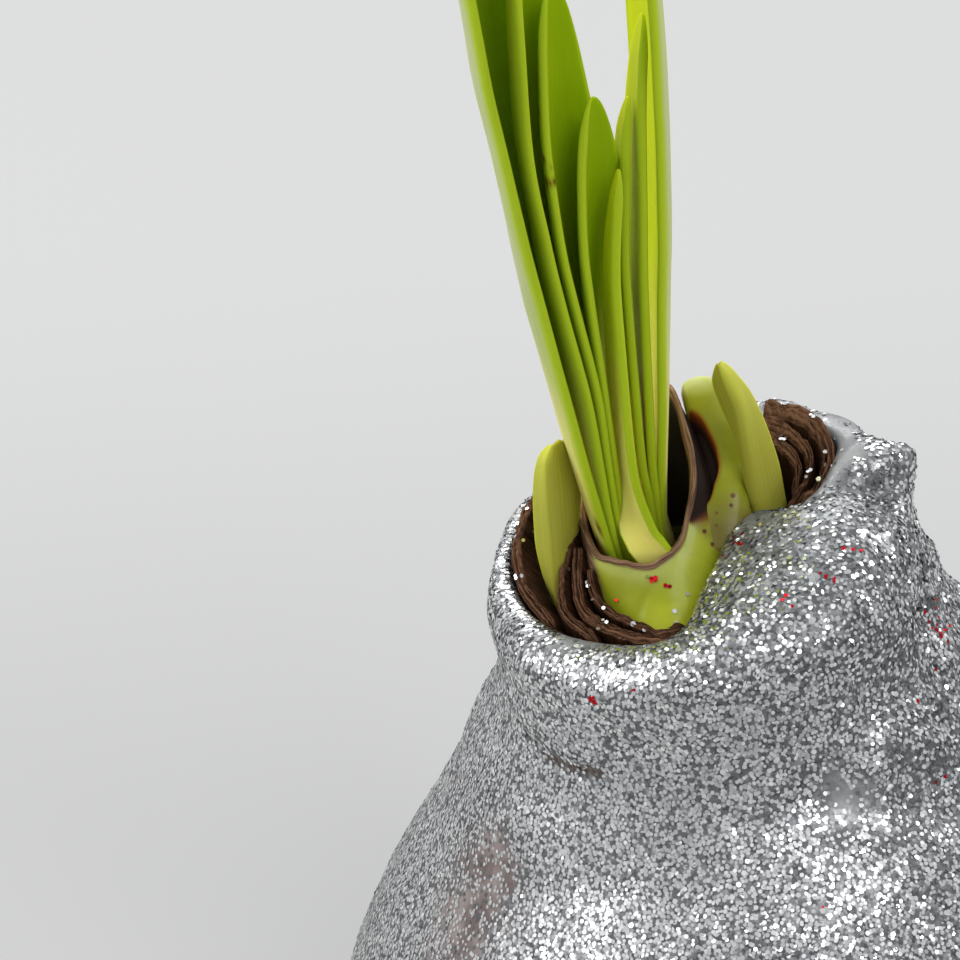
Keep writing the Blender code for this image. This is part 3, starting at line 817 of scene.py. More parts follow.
def sample(grid, row, column):
    """A (rows, columns, ...) array read between its rows and round its columns."""
    below = np.clip(np.floor(row).astype(int), 0, len(grid) - 2)
    before = np.floor(column).astype(int) % STEPS
    after = (before + 1) % STEPS
    shape = (-1, *[1] * (grid.ndim - 2))
    up = (row - below).reshape(shape)
    on = (column - np.floor(column)).reshape(shape)
    low = grid[below, before] * (1 - on) + grid[below, after] * on
    high = grid[below + 1, before] * (1 - on) + grid[below + 1, after] * on
    return low * (1 - up) + high * up


def flake_places(bent, rng):
    """Row and column places of the flakes: lines of jittered places all over the wax."""
    steps = np.linalg.norm(np.diff(bent, axis=0), axis=2).mean(axis=1)
    run = np.r_[0, np.cumsum(steps)]
    around = np.linalg.norm(np.roll(bent, -1, axis=1) - bent, axis=2)
    rows, columns = [], []
    for line, at in enumerate(np.arange(FOOT_MARGIN, run[-1], FLAKE_PITCH * FLAKE_LINES)):
        row = np.interp(at, run, np.arange(len(run)))
        length = np.r_[0, np.cumsum(around[int(row)])]
        count = int(length[-1] / FLAKE_PITCH)
        jitter = rng.uniform(-FLAKE_JITTER, FLAKE_JITTER, count)
        spots = np.arange(count) + 0.5 * (line % 2) + jitter
        spots *= length[-1] / count
        columns.append(np.interp(spots % length[-1], length, np.arange(STEPS + 1)))
        pitch = steps[min(int(row), len(steps) - 1)]
        jitter = rng.uniform(-FLAKE_JITTER, FLAKE_JITTER, count)
        rows.append(row + jitter * FLAKE_PITCH / pitch)
    return np.clip(np.concatenate(rows), 0, len(bent) - 1.001), np.concatenate(columns)


def red_flakes(straight, rng):
    """Which flakes are red: a few anywhere, and more at the red spots."""
    angle, radius, z = cylindrical(straight)
    red = rng.random(len(straight)) < RED_ANYWHERE
    for at, level, reach, share in RED_SPOTS:
        near = np.hypot(apart(angle, at) * radius, z - level * MM) < reach * MM
        red |= near & (rng.random(len(straight)) < share)
    return red


def flake_kinds(sparkle, rng):
    """A kind for each flake, drawn from the shares for smooth and for rough wax."""
    shares = np.array([kind[3:] for kind in FLAKE_KINDS])
    smooth, rough = np.cumsum(shares, axis=0).T
    edges = smooth + (rough - smooth) * sparkle[:, None]
    return (rng.random(len(sparkle))[:, None] > edges[:, :BRIGHT_KIND]).sum(axis=1)


def flake_cover(rows, fields, row, column):
    """How likely a flake lies at each place: fewer on bare and brown wax, the crease and below."""
    cover = FLAKE_COVER * (1 - sample(fields["bare"], row, column))
    cover -= BROWN_LESS * sample(fields["brown"], row, column)
    cover -= sample(fields["crease"], row, column)
    return cover - FOOT_LESS * np.clip(1 - sample(rows, row, column)[:, 2] / FOOT_FADE, 0, 1)


def add_flakes(rows, fields, materials):
    """Hexagonal glitter flakes lying in the wax, a few of them red."""
    rng = np.random.default_rng(SEED)
    bent = lean(rows)
    row, column = flake_places(bent, rng)
    kept = rng.random(len(row)) < flake_cover(rows, fields, row, column)
    row, column = row[kept], column[kept]
    sparkle = sample(fields["sparkle"], row, column)
    kind = flake_kinds(sparkle, rng)
    # Painted shade: flakes in the hollows are made dark.
    painted_shade = PAINTED_SHADE_SHARE * sample(fields["painted_shade"], row, column)
    kind[rng.random(len(row)) < painted_shade] = DARK_KIND
    kind[red_flakes(sample(rows, row, column), rng)] = RED_KIND
    normal = unit(sample(grid_normals(bent), row, column))
    lift = rng.uniform(0.0, FLAKE_LIFT, len(row)) * MM
    place = sample(bent, row, column) + normal * lift[:, None]
    corners = flake_corners(place, normal, FLAKE_TILT + SPARKLE_TILT * sparkle, rng)
    order = rng.permutation(len(row))
    for number, part in enumerate(np.array_split(order, FLAKE_PIECES), 1):
        lay_flakes(f"glitter_{number}", corners[part], kind[part], materials)


def flake_corners(place, normal, tilt_degrees, rng):
    """Six corners of each flake, tilted a little at random out of the surface."""
    count = len(place)
    side = unit(np.cross(normal, rng.normal(size=(count, 3))))
    other = np.cross(normal, side)
    tilt = np.radians(np.abs(rng.normal(0, 1, count)) * tilt_degrees)
    other = other * np.cos(tilt)[:, None] + normal * np.sin(tilt)[:, None]
    size = np.clip(rng.normal(1.0, SIZE_SPREAD, count), SIZE_LEAST, SIZE_MOST) * FLAKE_RADIUS
    turn = rng.uniform(0, math.pi / 3, count)[:, None] + np.arange(6) * math.pi / 3
    reach = size[:, None, None]
    across = np.cos(turn)[..., None] * side[:, None]
    return place[:, None] + reach * (across + np.sin(turn)[..., None] * other[:, None])


def lay_flakes(name, corners, kind, materials):
    """One hexagon, doubled until there are enough, each laid on its own six corners."""
    count = len(corners)
    mesh = bmesh.new()
    bmesh.ops.create_circle(mesh, cap_ends=True, segments=6, radius=1.0)
    while len(mesh.faces) < count:
        bmesh.ops.duplicate(mesh, geom=list(mesh.faces)[: count - len(mesh.faces)])
    data = bpy.data.meshes.new(name)
    mesh.to_mesh(data)
    mesh.free()
    order = np.empty(count * 6, np.int32)
    data.loops.foreach_get("vertex_index", order)
    places = np.empty((count * 6, 3), np.float32)
    places[order] = corners.reshape(-1, 3)
    data.vertices.foreach_set("co", places.ravel())
    data.polygons.foreach_set("material_index", kind.astype(np.int32))
    data.update()
    piece = link(name, data)
    for material in materials:
        data.materials.append(material)
    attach(piece, "root")


# Leaves and shoots, in mm with heights above the rim.

# Each leaf: side; its front edge as (height, place across); how far back that edge lies at the
# rim, and how much further for each mm up; length; half width; facing as (height, degrees); and
# the depth of its channel with the share of it at the foot. They follow the photographed edges.
LEAVES = {
    "leaf_left_1": (-1, (
        (0.0, -7.85), (6.6, -7.6), (12.8, -7.35), (21.1, -6.8), (31.2, -6.14), (38.2, -5.7),
        (48.2, -4.83), (55.0, -4.3), (64.1, -3.3), (92.0, -0.7),
    ), (-0.9, -0.085), 92, 6.0, ((0, -4), (40, 20)), (3.2, 0.45)),
    "leaf_left_2": (-1, (
        (0.0, -7.2), (5.9, -6.8), (11.9, -6.05), (20.2, -5.04), (30.3, -4.46), (37.4, -3.95),
        (47.2, -2.83), (62.7, 0.3), (84.0, 4.7),
    ), (-0.4, -0.085), 84, 5.2, ((0, -9), (40, 22)), (2.9, 0.5)),
    "leaf_left_3": (-1, (
        (0.0, -6.7), (5.4, -6.25), (11.4, -5.41), (19.5, -4.19), (29.6, -3.45), (36.7, -2.97),
        (46.6, -1.81), (54.0, -0.7), (62.1, 0.6),
    ), (0.1, -0.085), 61, 5.0, ((0, -6), (40, 30)), (2.6, 0.45)),
    "leaf_left_4": (-1, (
        (0.0, -6.3), (4.9, -5.95), (10.8, -4.94), (19.0, -3.68), (28.9, -2.22), (35.9, -1.4),
        (45.6, 0.2), (49.3, 0.9),
    ), (0.6, -0.085), 49, 4.2, ((0, -6), (40, 36)), (2.1, 0.45)),
    "leaf_right_1": (1, (
        (0.0, -1.5), (2.7, -2.5), (4.2, -3.1), (7.9, -3.5), (11.3, -3.3), (19.0, -1.93),
        (28.2, -0.1), (34.5, 1.6), (41.2, 4.0),
    ), (-1.8, 0.0), 41.2, 2.1, ((2, -84), (5, -48), (9, -24), (20, -18), (40, -10)), (0.3, 1.0)),
    "leaf_right_2": (1, (
        (0.0, -3.7), (4.6, -3.2), (8.2, -2.9), (16.2, -1.46), (25.8, 0.41), (32.5, 1.97),
        (41.9, 4.8), (46.5, 6.6),
    ), (2.9, -0.05), 46.5, 2.5, ((0, -11), (40, -11)), (0.35, 0.7)),
    "leaf_right_3": (1, (
        (0.0, -3.3), (4.4, -2.6), (7.9, -2.0), (15.8, -0.31), (25.4, 1.84), (32.0, 3.48),
        (41.4, 6.01), (46.7, 7.6), (53.8, 10.1),
    ), (2.9, -0.05), 53.8, 3.2, ((0, -12), (40, -12)), (0.5, 0.7)),
    "leaf_right_4": (1, (
        (0.0, -3.2), (1.9, -2.73), (7.7, -1.31), (15.5, 0.75), (24.9, 3.11), (31.5, 4.9),
        (41.0, 7.23), (46.3, 8.45), (56.5, 10.65), (86.0, 17.0),
    ), (2.9, -0.05), 86, 5.0, ((0, -9), (40, -10)), (1.75, 0.75)),
}
OUTERMOST = ("leaf_left_1", "leaf_right_4")
LEAF_COLUMNS, LEAF_ROWS = 22, 84
SHOOT_COLUMNS, SHOOT_ROWS = 25, 40
LEAF_SHEET, SHOOT_SHEET = 0.85, 1.0
LEAF_POWER, SHOOT_POWER = 1.35, 1.5  # rows crowd together towards the tip
BASE_SHARE = 0.8  # width at the foot, as a share of the widest
WIDEST_SHARE, TIP_SHARE = 0.45, 0.55  # a blade widens up to the first, and narrows from the second
TIP_HALF = 0.12
CHANNEL_HEIGHT = 30.0  # the channel has its full depth from here up
EDGE_POWER = 20  # the higher, the squarer a blade's edges
TIP_END, TIP_TAPER = 1.004, 0.06  # shares of the length
RIPPLE, RIPPLE_SIZE = 0.04 * MM, 3.2 * MM
RIPPLE_STRETCH = 0.3  # the lower, the longer the ripples run up a blade
RIPPLE_SEED, STAIN_SEED = 6, 8
STAIN_WAVE, STAIN_RAGGED, STAIN_LEVEL, STAIN_EDGE = 0.5 * MM, 0.28, 0.4, 4
RAIL_POINTS = 200
RIDGE_SHARE = 0.34  # where a shoot's ridge lies across it
# Painted light: where a shoot's lit side begins across it, and how softly it turns to its painted
# shaded side.
PAINTED_LIGHT_TURN, PAINTED_LIGHT_SOFT = 0.32, 0.08  # where its bright side begins, and how softly
RIDGE_ROUNDING = 3  # times its ridge is smoothed
# The edge colour is a painted highlight along a blade's edges.
LEAF_EDGE_HIGHLIGHT, LEAF_FOOT = (0.42, 0.55, 0.02), (0.92, 0.84, 0.2)
# The outermost leaves' pale outer colour is a painted sheen, the white room reflected at a grazing
# angle; the plain one is the leaves' own green.
OUTER_PAINTED_SHEEN, OUTER_PLAIN = (0.5, 0.55, 0.27), (0.4, 0.49, 0.016)
# Inner faces of each rank, both lightened as painted light, the right rank's much more, standing in
# for the light that the left rank blocks from it.
INNER_GREEN_PAINTED_LIGHT = {-1: ("left", (0.3, 0.45, 0.002)), 1: ("right", (0.74, 0.8, 0.016))}
# Stains on the leaves: node to (share across, height, half share, half height).
STAINS = {
    "leaf_left_3": ((0.06, 45.6, 0.06, 0.9), (0.05, 43.3, 0.06, 0.55), (0.1, 50.0, 0.03, 0.35)),
    "leaf_left_1": ((0.06, 5.2, 0.05, 0.45),),
}
# Shoots: (height, left edge, ridge, right edge) in plan, from the foot to the tip.
SHOOTS = {
    "shoot_left": (
        (-6.0, (-14.4, 1.6), (-13.9, -0.2), (-12.0, 2.4)),
        (-1.0, (-14.9, 2.0), (-13.9, 0.0), (-11.6, 3.2)),
        (3.0, (-14.8, 2.0), (-13.1, 0.0), (-10.8, 3.8)),
        (6.0, (-14.2, 2.0), (-12.5, 0.0), (-9.8, 4.0)),
        (9.0, (-13.4, 2.0), (-11.9, 0.0), (-9.0, 4.0)),
        (11.5, (-12.5, 2.0), (-11.3, 0.2), (-8.8, 3.7)),
        (13.2, (-11.5, 1.9), (-10.8, 0.5), (-9.0, 2.8)),
        (14.3, (-10.4, 1.6), (-10.1, 1.2), (-9.4, 1.9)),
    ),
    "shoot_right": (
        (-6.0, (5.5, 4.3), (6.0, 2.7), (8.4, 5.4)),
        (-1.0, (5.8, 4.1), (6.1, 2.5), (8.8, 5.5)),
        (3.0, (6.1, 3.9), (6.4, 2.5), (9.2, 5.5)),
        (6.0, (6.3, 4.0), (6.75, 2.5), (9.15, 5.5)),
        (9.0, (6.3, 4.2), (7.1, 2.5), (8.9, 5.5)),
        (12.0, (5.85, 4.5), (7.4, 2.7), (8.4, 5.4)),
        (14.4, (5.75, 4.7), (7.1, 3.3), (7.6, 5.1)),
        (16.2, (6.5, 4.7), (6.75, 4.2), (6.95, 4.9)),
    ),
}


def half_width(along, wide, base):
    """Half the width of a blade at a share of its length."""
    swell = base + (wide - base) * math.sin(math.pi / 2 * min(along / WIDEST_SHARE, 1))
    if along <= TIP_SHARE:
        return swell
    past = (along - TIP_SHARE) / (1 - TIP_SHARE)
    return max(swell * math.sqrt(max(1 - past**2, 0)), TIP_HALF)


def blade_middle(shape, across, along):
    """The middle surface of a blade in the straight design, as rows of points."""
    side, front, (back, back_slope), length, wide, turn, channel = shape
    bottom = (FLOOR + SETTLE) / MM
    edge = smooth_open(np.array(front, float), RAIL_POINTS)
    rows = []
    for part in along:
        height = bottom + (length - bottom) * part
        above = max(height, 0)
        facing = math.radians(np.interp(above, *np.array(turn, float).T))
        depth = channel[0] * (channel[1] + (1 - channel[1]) * min(above / CHANNEL_HEIGHT, 1))
        half = half_width(part, wide, BASE_SHARE * wide)
        reach = 2 * across - 1
        offset = wide + half * reach
        bulge = side * depth * (half / wide) ** 2 * (1 - reach**2)
        x = np.interp(above, edge[:, 0], edge[:, 1])
        x = x + math.sin(facing) * offset + math.cos(facing) * bulge
        y = back + back_slope * above + math.cos(facing) * offset - math.sin(facing) * bulge
        rows.append(np.column_stack([x, y, np.full(len(across), RIM_HEIGHT / MM + height)]))
    return np.array(rows) * MM


def blade_normals(middle, outwards):
    """Unit normals of a middle surface, on the side that looks outwards."""
    normal = unit(np.cross(np.gradient(middle, axis=1), np.gradient(middle, axis=0)))
    centre = normal[middle.shape[0] // 2, middle.shape[1] // 2]
    return normal * np.sign(centre @ np.array(outwards, float))


def leaf_stains(node, rings, across, height):
    """The small brown stains of a leaf, with ragged edges."""
    stain = np.zeros(rings.shape[:2])
    for at, level, wide, tall in STAINS.get(node, ()):
        ragged = STAIN_RAGGED * wander(rings, STAIN_WAVE, STAIN_SEED)
        spot = bell(across[None, :] - at, wide) * bell(height - level, tall)
        stain = np.maximum(stain, np.clip((spot - STAIN_LEVEL + ragged) * STAIN_EDGE, 0, 1))
    return stain


def add_blade(node, middle, across, along, sheet, outwards, material, painted_light=None):
    """A closed blade: its middle surface thickened both ways, with rounded edges and tip.

    The painted light is 1 on a blade's lit side and -1 on its shaded side, both painted, across
    its outer face; without it the whole outer face is 1 and the inner face -1.
    """
    normal = blade_normals(middle, outwards)
    rounding = np.sqrt(np.clip(1 - np.abs(2 * across - 1) ** EDGE_POWER, 0, 1))
    thin = np.sqrt(falling(along, TIP_END, TIP_TAPER))[:, None]
    half = sheet / 2 * MM * rounding[None, :] * thin
    ripple = RIPPLE * wander(middle * (1, 1, RIPPLE_STRETCH), RIPPLE_SIZE, RIPPLE_SEED)
    outer = middle + normal * (half + ripple)[..., None]
    inner = middle + normal * (ripple - half)[..., None]
    rings = np.concatenate([outer, inner[:, -2:0:-1]], axis=1)
    if painted_light is None:
        face = np.r_[np.ones(len(across)), -np.ones(len(across) - 2)]
    else:
        face = np.r_[painted_light, painted_light[-2:0:-1]]
    round_across = np.r_[across, across[-2:0:-1]]
    height = (rings[..., 2] - RIM_HEIGHT) / MM
    stain = leaf_stains(node, rings, round_across, height)
    fields = {"across": round_across, "face": face, "height": height, "stain": stain}
    return finish_piece(warped_grid(node + "_blade", lean(rings), fields), node, material)


def add_leaves():
    """The main leaves; the outermost one on each side has a paler outer face, a painted sheen."""
    materials = {}
    for side, (words, inner) in INNER_GREEN_PAINTED_LIGHT.items():
        for start, outermost, outer in (("outermost ", True, OUTER_PAINTED_SHEEN), ("", False, OUTER_PLAIN)):
            name = f"{start}{words} leaf"
            materials[side, outermost] = leaf_material(name, inner, outer, LEAF_EDGE_HIGHLIGHT, LEAF_FOOT)
    across = (1 - np.cos(np.linspace(0, math.pi, LEAF_COLUMNS + 1))) / 2
    along = 1 - (1 - np.linspace(0, 1, LEAF_ROWS + 1)) ** LEAF_POWER
    for node, shape in LEAVES.items():
        middle = blade_middle(shape, across, along)
        material = materials[shape[0], node in OUTERMOST]
        add_blade(node, middle, across, along, LEAF_SHEET, (shape[0], 0, 0), material)


def shoot_middle(levels, across, along):
    """The middle surface of a shoot: at each height a V, from its left edge round its ridge."""
    heights = np.array([level[0] for level in levels])
    edges = np.array([level[1:] for level in levels]).reshape(len(levels), -1)
    rails = smooth_open(np.column_stack([heights, edges]), RAIL_POINTS)
    rows = []
    for height in heights[0] + (heights[-1] - heights[0]) * along:
        corners = [np.interp(height, rails[:, 0], rail) for rail in rails[:, 1:].T]
        x, y = mm(*corners).reshape(3, 2).T
        plan = np.column_stack([np.interp(across, (0, RIDGE_SHARE, 1), c) for c in (x, y)])
        for _ in range(RIDGE_ROUNDING):
            plan[1:-1] = (plan[:-2] + 2 * plan[1:-1] + plan[2:]) / 4
        level = np.full(len(across), RIM_HEIGHT + max(height * MM, FLOOR + SETTLE))
        rows.append(np.column_stack([plan, level]))
    return np.array(rows)


def add_shoots():
    """Two young folded leaves: each a V round its ridge, which faces the front, with one side painted
    lit and the other painted shaded.
    """
    # A shoot's outer colour is its painted lit side and its inner colour its painted shaded side; its
    # edge colour is a painted highlight.
    material = leaf_material(
        "shoot", inner=(0.2, 0.19, 0.006), outer=(0.74, 0.8, 0.12), edge=(0.36, 0.4, 0.02),
        foot=(0.45, 0.44, 0.06),
    )
    across = np.linspace(0, 1, SHOOT_COLUMNS)
    along = 1 - (1 - np.linspace(0, 1, SHOOT_ROWS)) ** SHOOT_POWER
    for node, levels in SHOOTS.items():
        middle = shoot_middle(levels, across, along)
        # Which side of each shoot gets the painted light.
        bright = 1 if node == "shoot_right" else -1
        painted_light = bright * np.clip((across - PAINTED_LIGHT_TURN) / PAINTED_LIGHT_SOFT, -1, 1)
        add_blade(node, middle, across, along, SHOOT_SHEET, (0, -1, 0), material, painted_light)


# Tunics and scales, in mm with heights above the rim.

TUNIC_HALF = 0.33  # half the thickness of a skin's edge
TUNIC_STATIONS = 170
END_TAPER = 0.8 * MM  # a skin thins and drops this far from each end
END_HEIGHT, END_THICKNESS = 0.75, 0.35  # what is left of each at the very end
LEAN_POWER = 0.8
TORN, SWAY, FIBRE = 0.3, 0.1, 0.06  # mm
TORN_WAVES, SWAY_WAVE, FIBRE_WAVE = (1.1 * MM, 4 * MM), 3 * MM, 0.55 * MM
TORN_SHIFT = (0.9 * MM, 2 * MM)  # how the tears of a rim's layers differ, across it and up it
FIBRE_STRETCH = 0.15  # the lower, the longer the fibres
PALE_RIM_FROM, PALE_RIM_OVER, FACE_SHARE = 0.84, 0.1, 0.99
TUNIC_SEED, TUNIC_SEED_STEP = 30, 5
# Each tunic: how far its outer and inner faces lean in, the extra thickness of its outer half,
# and its path as (across, back, top height).
TUNICS = {
    "tunic_left_outer": (0.9, 2.6, 0.35, (
        (-13.6, 11.6, 3.6), (-15.6, 8.6, 3.6), (-17.0, 4.6, 2.6), (-17.2, 0.6, 1.0),
        (-16.2, -2.4, 0.0), (-14.9, -4.9, -0.6),
    )),
    "tunic_left_middle": (0.3, 2.4, 0.1, (
        (-10.6, 8.4, 5.0), (-10.8, 5.2, 4.6), (-11.9, 1.8, 3.0), (-13.4, -1.4, 1.2),
        (-13.6, -4.4, 0.2), (-12.3, -7.0, -0.5), (-10.9, -9.2, -1.0),
    )),
    "tunic_front_outer": (0.3, 2.0, 0.3, (
        (-10.9, 2.0, 2.8), (-11.7, -1.6, 1.2), (-11.6, -5.0, 0.1), (-9.6, -8.3, -0.5),
        (-7.0, -10.4, -1.0), (-4.6, -11.6, -1.0), (-2.5, -10.9, -1.0),
    )),
    "tunic_front_inner": (0.4, 1.7, 0.0, (
        (-10.3, -0.6, 1.9), (-10.4, -3.6, 0.5), (-8.9, -6.4, -0.3), (-6.5, -8.7, -1.0),
        (-4.5, -9.9, -1.5), (-2.4, -9.2, -1.5),
    )),
    "tunic_right_outer": (1.2, 2.4, 0.5, (
        (8.6, 13.4, 5.2), (10.9, 11.8, 4.9), (13.0, 9.4, 4.5), (14.0, 6.5, 3.3),
        (13.1, 3.7, 2.1), (10.8, 1.5, 1.1), (8.6, 0.5, 0.6),
    )),
    "tunic_right_middle": (0.7, 1.8, 0.0, (
        (8.2, 12.3, 4.6), (10.2, 10.6, 4.0), (11.8, 8.5, 3.3), (12.3, 6.4, 2.4),
        (11.7, 4.6, 1.6), (10.2, 2.7, 0.9), (8.8, 1.8, 0.5),
    )),
    "tunic_right_inner": (0.6, 1.6, 0.0, (
        (7.7, 11.2, 4.0), (9.4, 9.8, 3.4), (10.6, 8.0, 2.7), (11.0, 6.4, 1.8),
        (10.6, 5.0, 1.3), (9.9, 4.0, 0.7),
    )),
}
MIDDLE = mm(-2.0, 3.0)  # of the mouth
SCALE_STATIONS, SCALE_COLUMNS, WALL_ROWS = 110, 40, 12
SCALE_SEED = 41
# The thick scale at the right: (back, its left and right side, top height) from front to back.
SCALE_RIGHT = (
    (-1.2, 0.4, 4.2, -0.9), (0.4, 0.5, 4.9, 0.9), (1.8, 0.9, 5.6, 2.3), (3.2, 1.6, 5.9, 3.3),
    (5.2, 2.1, 6.3, 4.5), (7.4, 2.1, 6.7, 6.0), (9.4, 1.9, 6.4, 7.6), (11.0, 1.8, 5.9, 9.0),
    (12.3, 1.8, 5.4, 9.7), (13.2, 2.1, 4.8, 9.3),
)
CROWN, SIDE_FROM, SIDE_FALL = 0.7, 0.7, 0.66  # its top's swell, and how its sides fall away
# It runs up the collar in front: how high, how wide, from how far back, and fading over this.
FILLET, FILLET_WIDTH, FILLET_BACK, FILLET_FADE = 1.2, 1.8, 2.4, 1.2
SOFTNESS = 0.15
# The dried pocket between it and the collar.
POCKET_FRONT, POCKET_BACK, POCKET_WIDTH = 1.7, 10.2, 1.75
POCKET_DEPTH, POCKET_SIDE, POCKET_RAGGED = 1.5, 0.5, 0.12
POCKET_FULL = 0.4  # it has its full depth where it reaches this far
# Its dark floor (dried, and painted shade in the recess), scorched edge, pale crest, and duller and
# pitted front, in mm and shares.
DARK_FULL, DARK_SOFT, SCORCH_SOFT = 0.3, 0.35, 0.45
CREST_FROM, CREST_RISE, CREST_PALE = 9.3, 1.6, 0.8
DULL, DULL_FRONT, DULL_BACK, DULL_FADE = 0.45, 0.35, 2.5, 1.5
DULL_FOOT, DULL_FOOT_TOP, DULL_FOOT_FADE = 0.5, 2.0, 4
PIPS_BACK, PIPS_FADE = 3.4, 1.5
# The collar's foot and its lip, as (across, back, height), anticlockwise from its left.
SCALE_FOOT = (
    (-10.9, 5.0, -2.0), (-10.7, 1.2, -1.5), (-10.1, -1.6, -1.5), (-8.5, -4.2, -2.2),
    (-6.0, -6.8, -3.1), (-4.2, -7.8, -3.6), (-2.5, -6.9, -3.5), (-0.8, -5.2, -3.0),
    (0.9, -3.2, -2.2), (2.1, -0.8, -1.2), (2.7, 2.4, 0.0), (2.6, 6.2, 0.5), (2.0, 10.2, 0.5),
    (-0.6, 12.9, 0.0), (-5.0, 13.6, -1.0), (-9.4, 11.0, -2.0),
)
SCALE_LIP = (
    (-9.9, 5.0, 4.0), (-9.75, 1.8, 3.4), (-9.2, -0.4, 2.6), (-7.9, -1.6, 2.2), (-6.1, -2.4, 1.7),
    (-4.4, -2.6, 1.3), (-2.6, -1.9, 1.5), (-1.2, -0.8, 2.0), (0.0, 1.2, 3.6), (0.9, 3.2, 4.9),
    (1.35, 5.6, 6.4), (1.3, 8.2, 8.3), (1.2, 10.4, 10.0), (0.4, 12.2, 10.4), (-2.0, 13.4, 8.0),
    (-5.4, 13.2, 5.0), (-8.6, 10.2, 4.2),
)


def plan_normals(line, closed=False):
    """Unit normals in plan, to the right of the way the line runs."""
    plan = line[:, :2]
    if closed:
        forward = np.roll(plan, -1, axis=0) - np.roll(plan, 1, axis=0)
    else:
        forward = np.gradient(plan, axis=0)
    forward = unit(forward)
    return np.stack([forward[:, 1], -forward[:, 0]], axis=1)


def run_along(line):
    """How far along a line in plan each of its points lies."""
    return np.r_[0, np.cumsum(np.linalg.norm(np.diff(line[:, :2], axis=0), axis=1))]


# A tunic's cross section: (share of its half thickness, share of its height), up one face,
# over the torn rim with its layers, and down the other.
TUNIC_SECTION = (
    (-1.0, 0.0), (-1.0, 0.25), (-1.0, 0.5), (-1.0, 0.7), (-1.0, 0.85), (-1.0, 0.95), (-0.9, 1.0),
    (-0.7, 0.97), (-0.55, 0.9), (-0.4, 0.97), (-0.2, 1.01), (-0.02, 0.95), (0.12, 0.88),
    (0.28, 0.96), (0.46, 0.99), (0.6, 0.93), (0.72, 0.86), (0.86, 0.92), (1.0, 0.9), (1.0, 0.8),
    (1.0, 0.6), (1.0, 0.4), (1.0, 0.2), (1.0, 0.0),
)


def torn_rim(run, share, up, seed):
    """How far the rim is torn up or down at each station; nothing below half its height."""
    shift = np.array((share, up)) * TORN_SHIFT
    spot = np.column_stack([run, *(np.full(len(run), value) for value in shift)])
    torn = sum(TORN * wander(spot, size, seed + k) for k, size in enumerate(TORN_WAVES))
    return torn * MM * max(up - 0.5, 0) * 2


def tunic_rings(shape, line, seed):
    """The skin's rings, one round it at each station of its path."""
    outer_lean, inner_lean, extra, _ = shape
    bottom = FLOOR + SETTLE
    normal = plan_normals(line)
    run = run_along(line)
    ends = np.clip(np.minimum(run, run[-1] - run) / END_TAPER, 0, 1) ** 0.5
    to_middle = unit(MIDDLE - line[:, :2])
    inside = np.sign((normal * to_middle).sum())
    rings = []
    for share, up in TUNIC_SECTION:
        inner_face = share * inside > 0
        inwards, half = (inner_lean, TUNIC_HALF) if inner_face else (outer_lean, TUNIC_HALF + extra)
        top = line[:, 2] + torn_rim(run, share, up, seed)
        z = bottom + (top - bottom) * up * (END_HEIGHT + (1 - END_HEIGHT) * ends)
        fibre = wander(np.column_stack([run, 0 * run, z * FIBRE_STRETCH]), FIBRE_WAVE, seed + 2)
        sway = wander(np.column_stack([run, 0 * run, z]), SWAY_WAVE, seed + 3) * up
        out = share * half * (END_THICKNESS + (1 - END_THICKNESS) * ends)
        out = out + SWAY * sway + FIBRE * fibre * np.sign(share)
        plan = line[:, :2] + normal * out[:, None] * MM
        plan += to_middle * inwards * MM * max(1 - up, 0) ** LEAN_POWER
        rings.append(np.column_stack([plan, RIM_HEIGHT + z]))
    return np.array(rings).transpose(1, 0, 2)


def add_tunic(node, shape, seed, material):
    """A papery skin with fibres, wavy faces and a torn rim of several thin layers."""
    line = smooth_open(mm(*shape[-1]), TUNIC_STATIONS + 1)
    rings = tunic_rings(shape, line, seed)
    shares, ups = np.array(TUNIC_SECTION).T
    rim = rising(ups, PALE_RIM_FROM, PALE_RIM_OVER) * (np.abs(shares) < FACE_SHARE)
    fields = {
        "along": (run_along(line) / MM)[:, None],
        "height": (rings[..., 2] - RIM_HEIGHT) / MM,
        "depth": shares[None, :],
        "rim": rim[None, :],
    }
    return finish_piece(warped_grid(node + "_skin", lean(rings), fields), node, material)


def scale_right_top():
    """The scale's top as rows of (across, back, height), and what tells where its pocket lies."""
    line = smooth_open(np.array(SCALE_RIGHT), SCALE_STATIONS + 1)
    back, left, right, top = (line[:, k][:, None] for k in range(4))
    share = np.linspace(-1, 1, SCALE_COLUMNS + 1)[None, :]
    x = (left + right) / 2 + (right - left) / 2 * share
    from_left = x - left
    plan = np.dstack([x, back + 0 * x, 0 * x])
    inside = np.clip((back - POCKET_FRONT) * (POCKET_BACK - back), 0, None)
    round_reach = POCKET_WIDTH * (2 * np.sqrt(inside) / (POCKET_BACK - POCKET_FRONT))
    reach = round_reach + POCKET_RAGGED * wander(plan * MM, 1.5 * MM, SCALE_SEED)
    dip = rising(reach, from_left, POCKET_SIDE) * rising(reach, 0, POCKET_FULL)
    side = rising(np.abs(share), SIDE_FROM, 1 - SIDE_FROM)
    crown = CROWN * (1 - share**2) - SIDE_FALL * side**2
    soft = SOFTNESS * wander(plan * MM, 3.0 * MM, SCALE_SEED + 1)
    near_collar = np.clip(1 - from_left / FILLET_WIDTH, 0, 1) ** 2
    fillet = near_collar * falling(back, FILLET_BACK, FILLET_FADE)
    z = top + crown - POCKET_DEPTH * dip + soft + FILLET * fillet
    plan[..., 2] = np.maximum(z, (FLOOR + SETTLE) / MM + 0.2)
    return plan, back, from_left, reach, inside


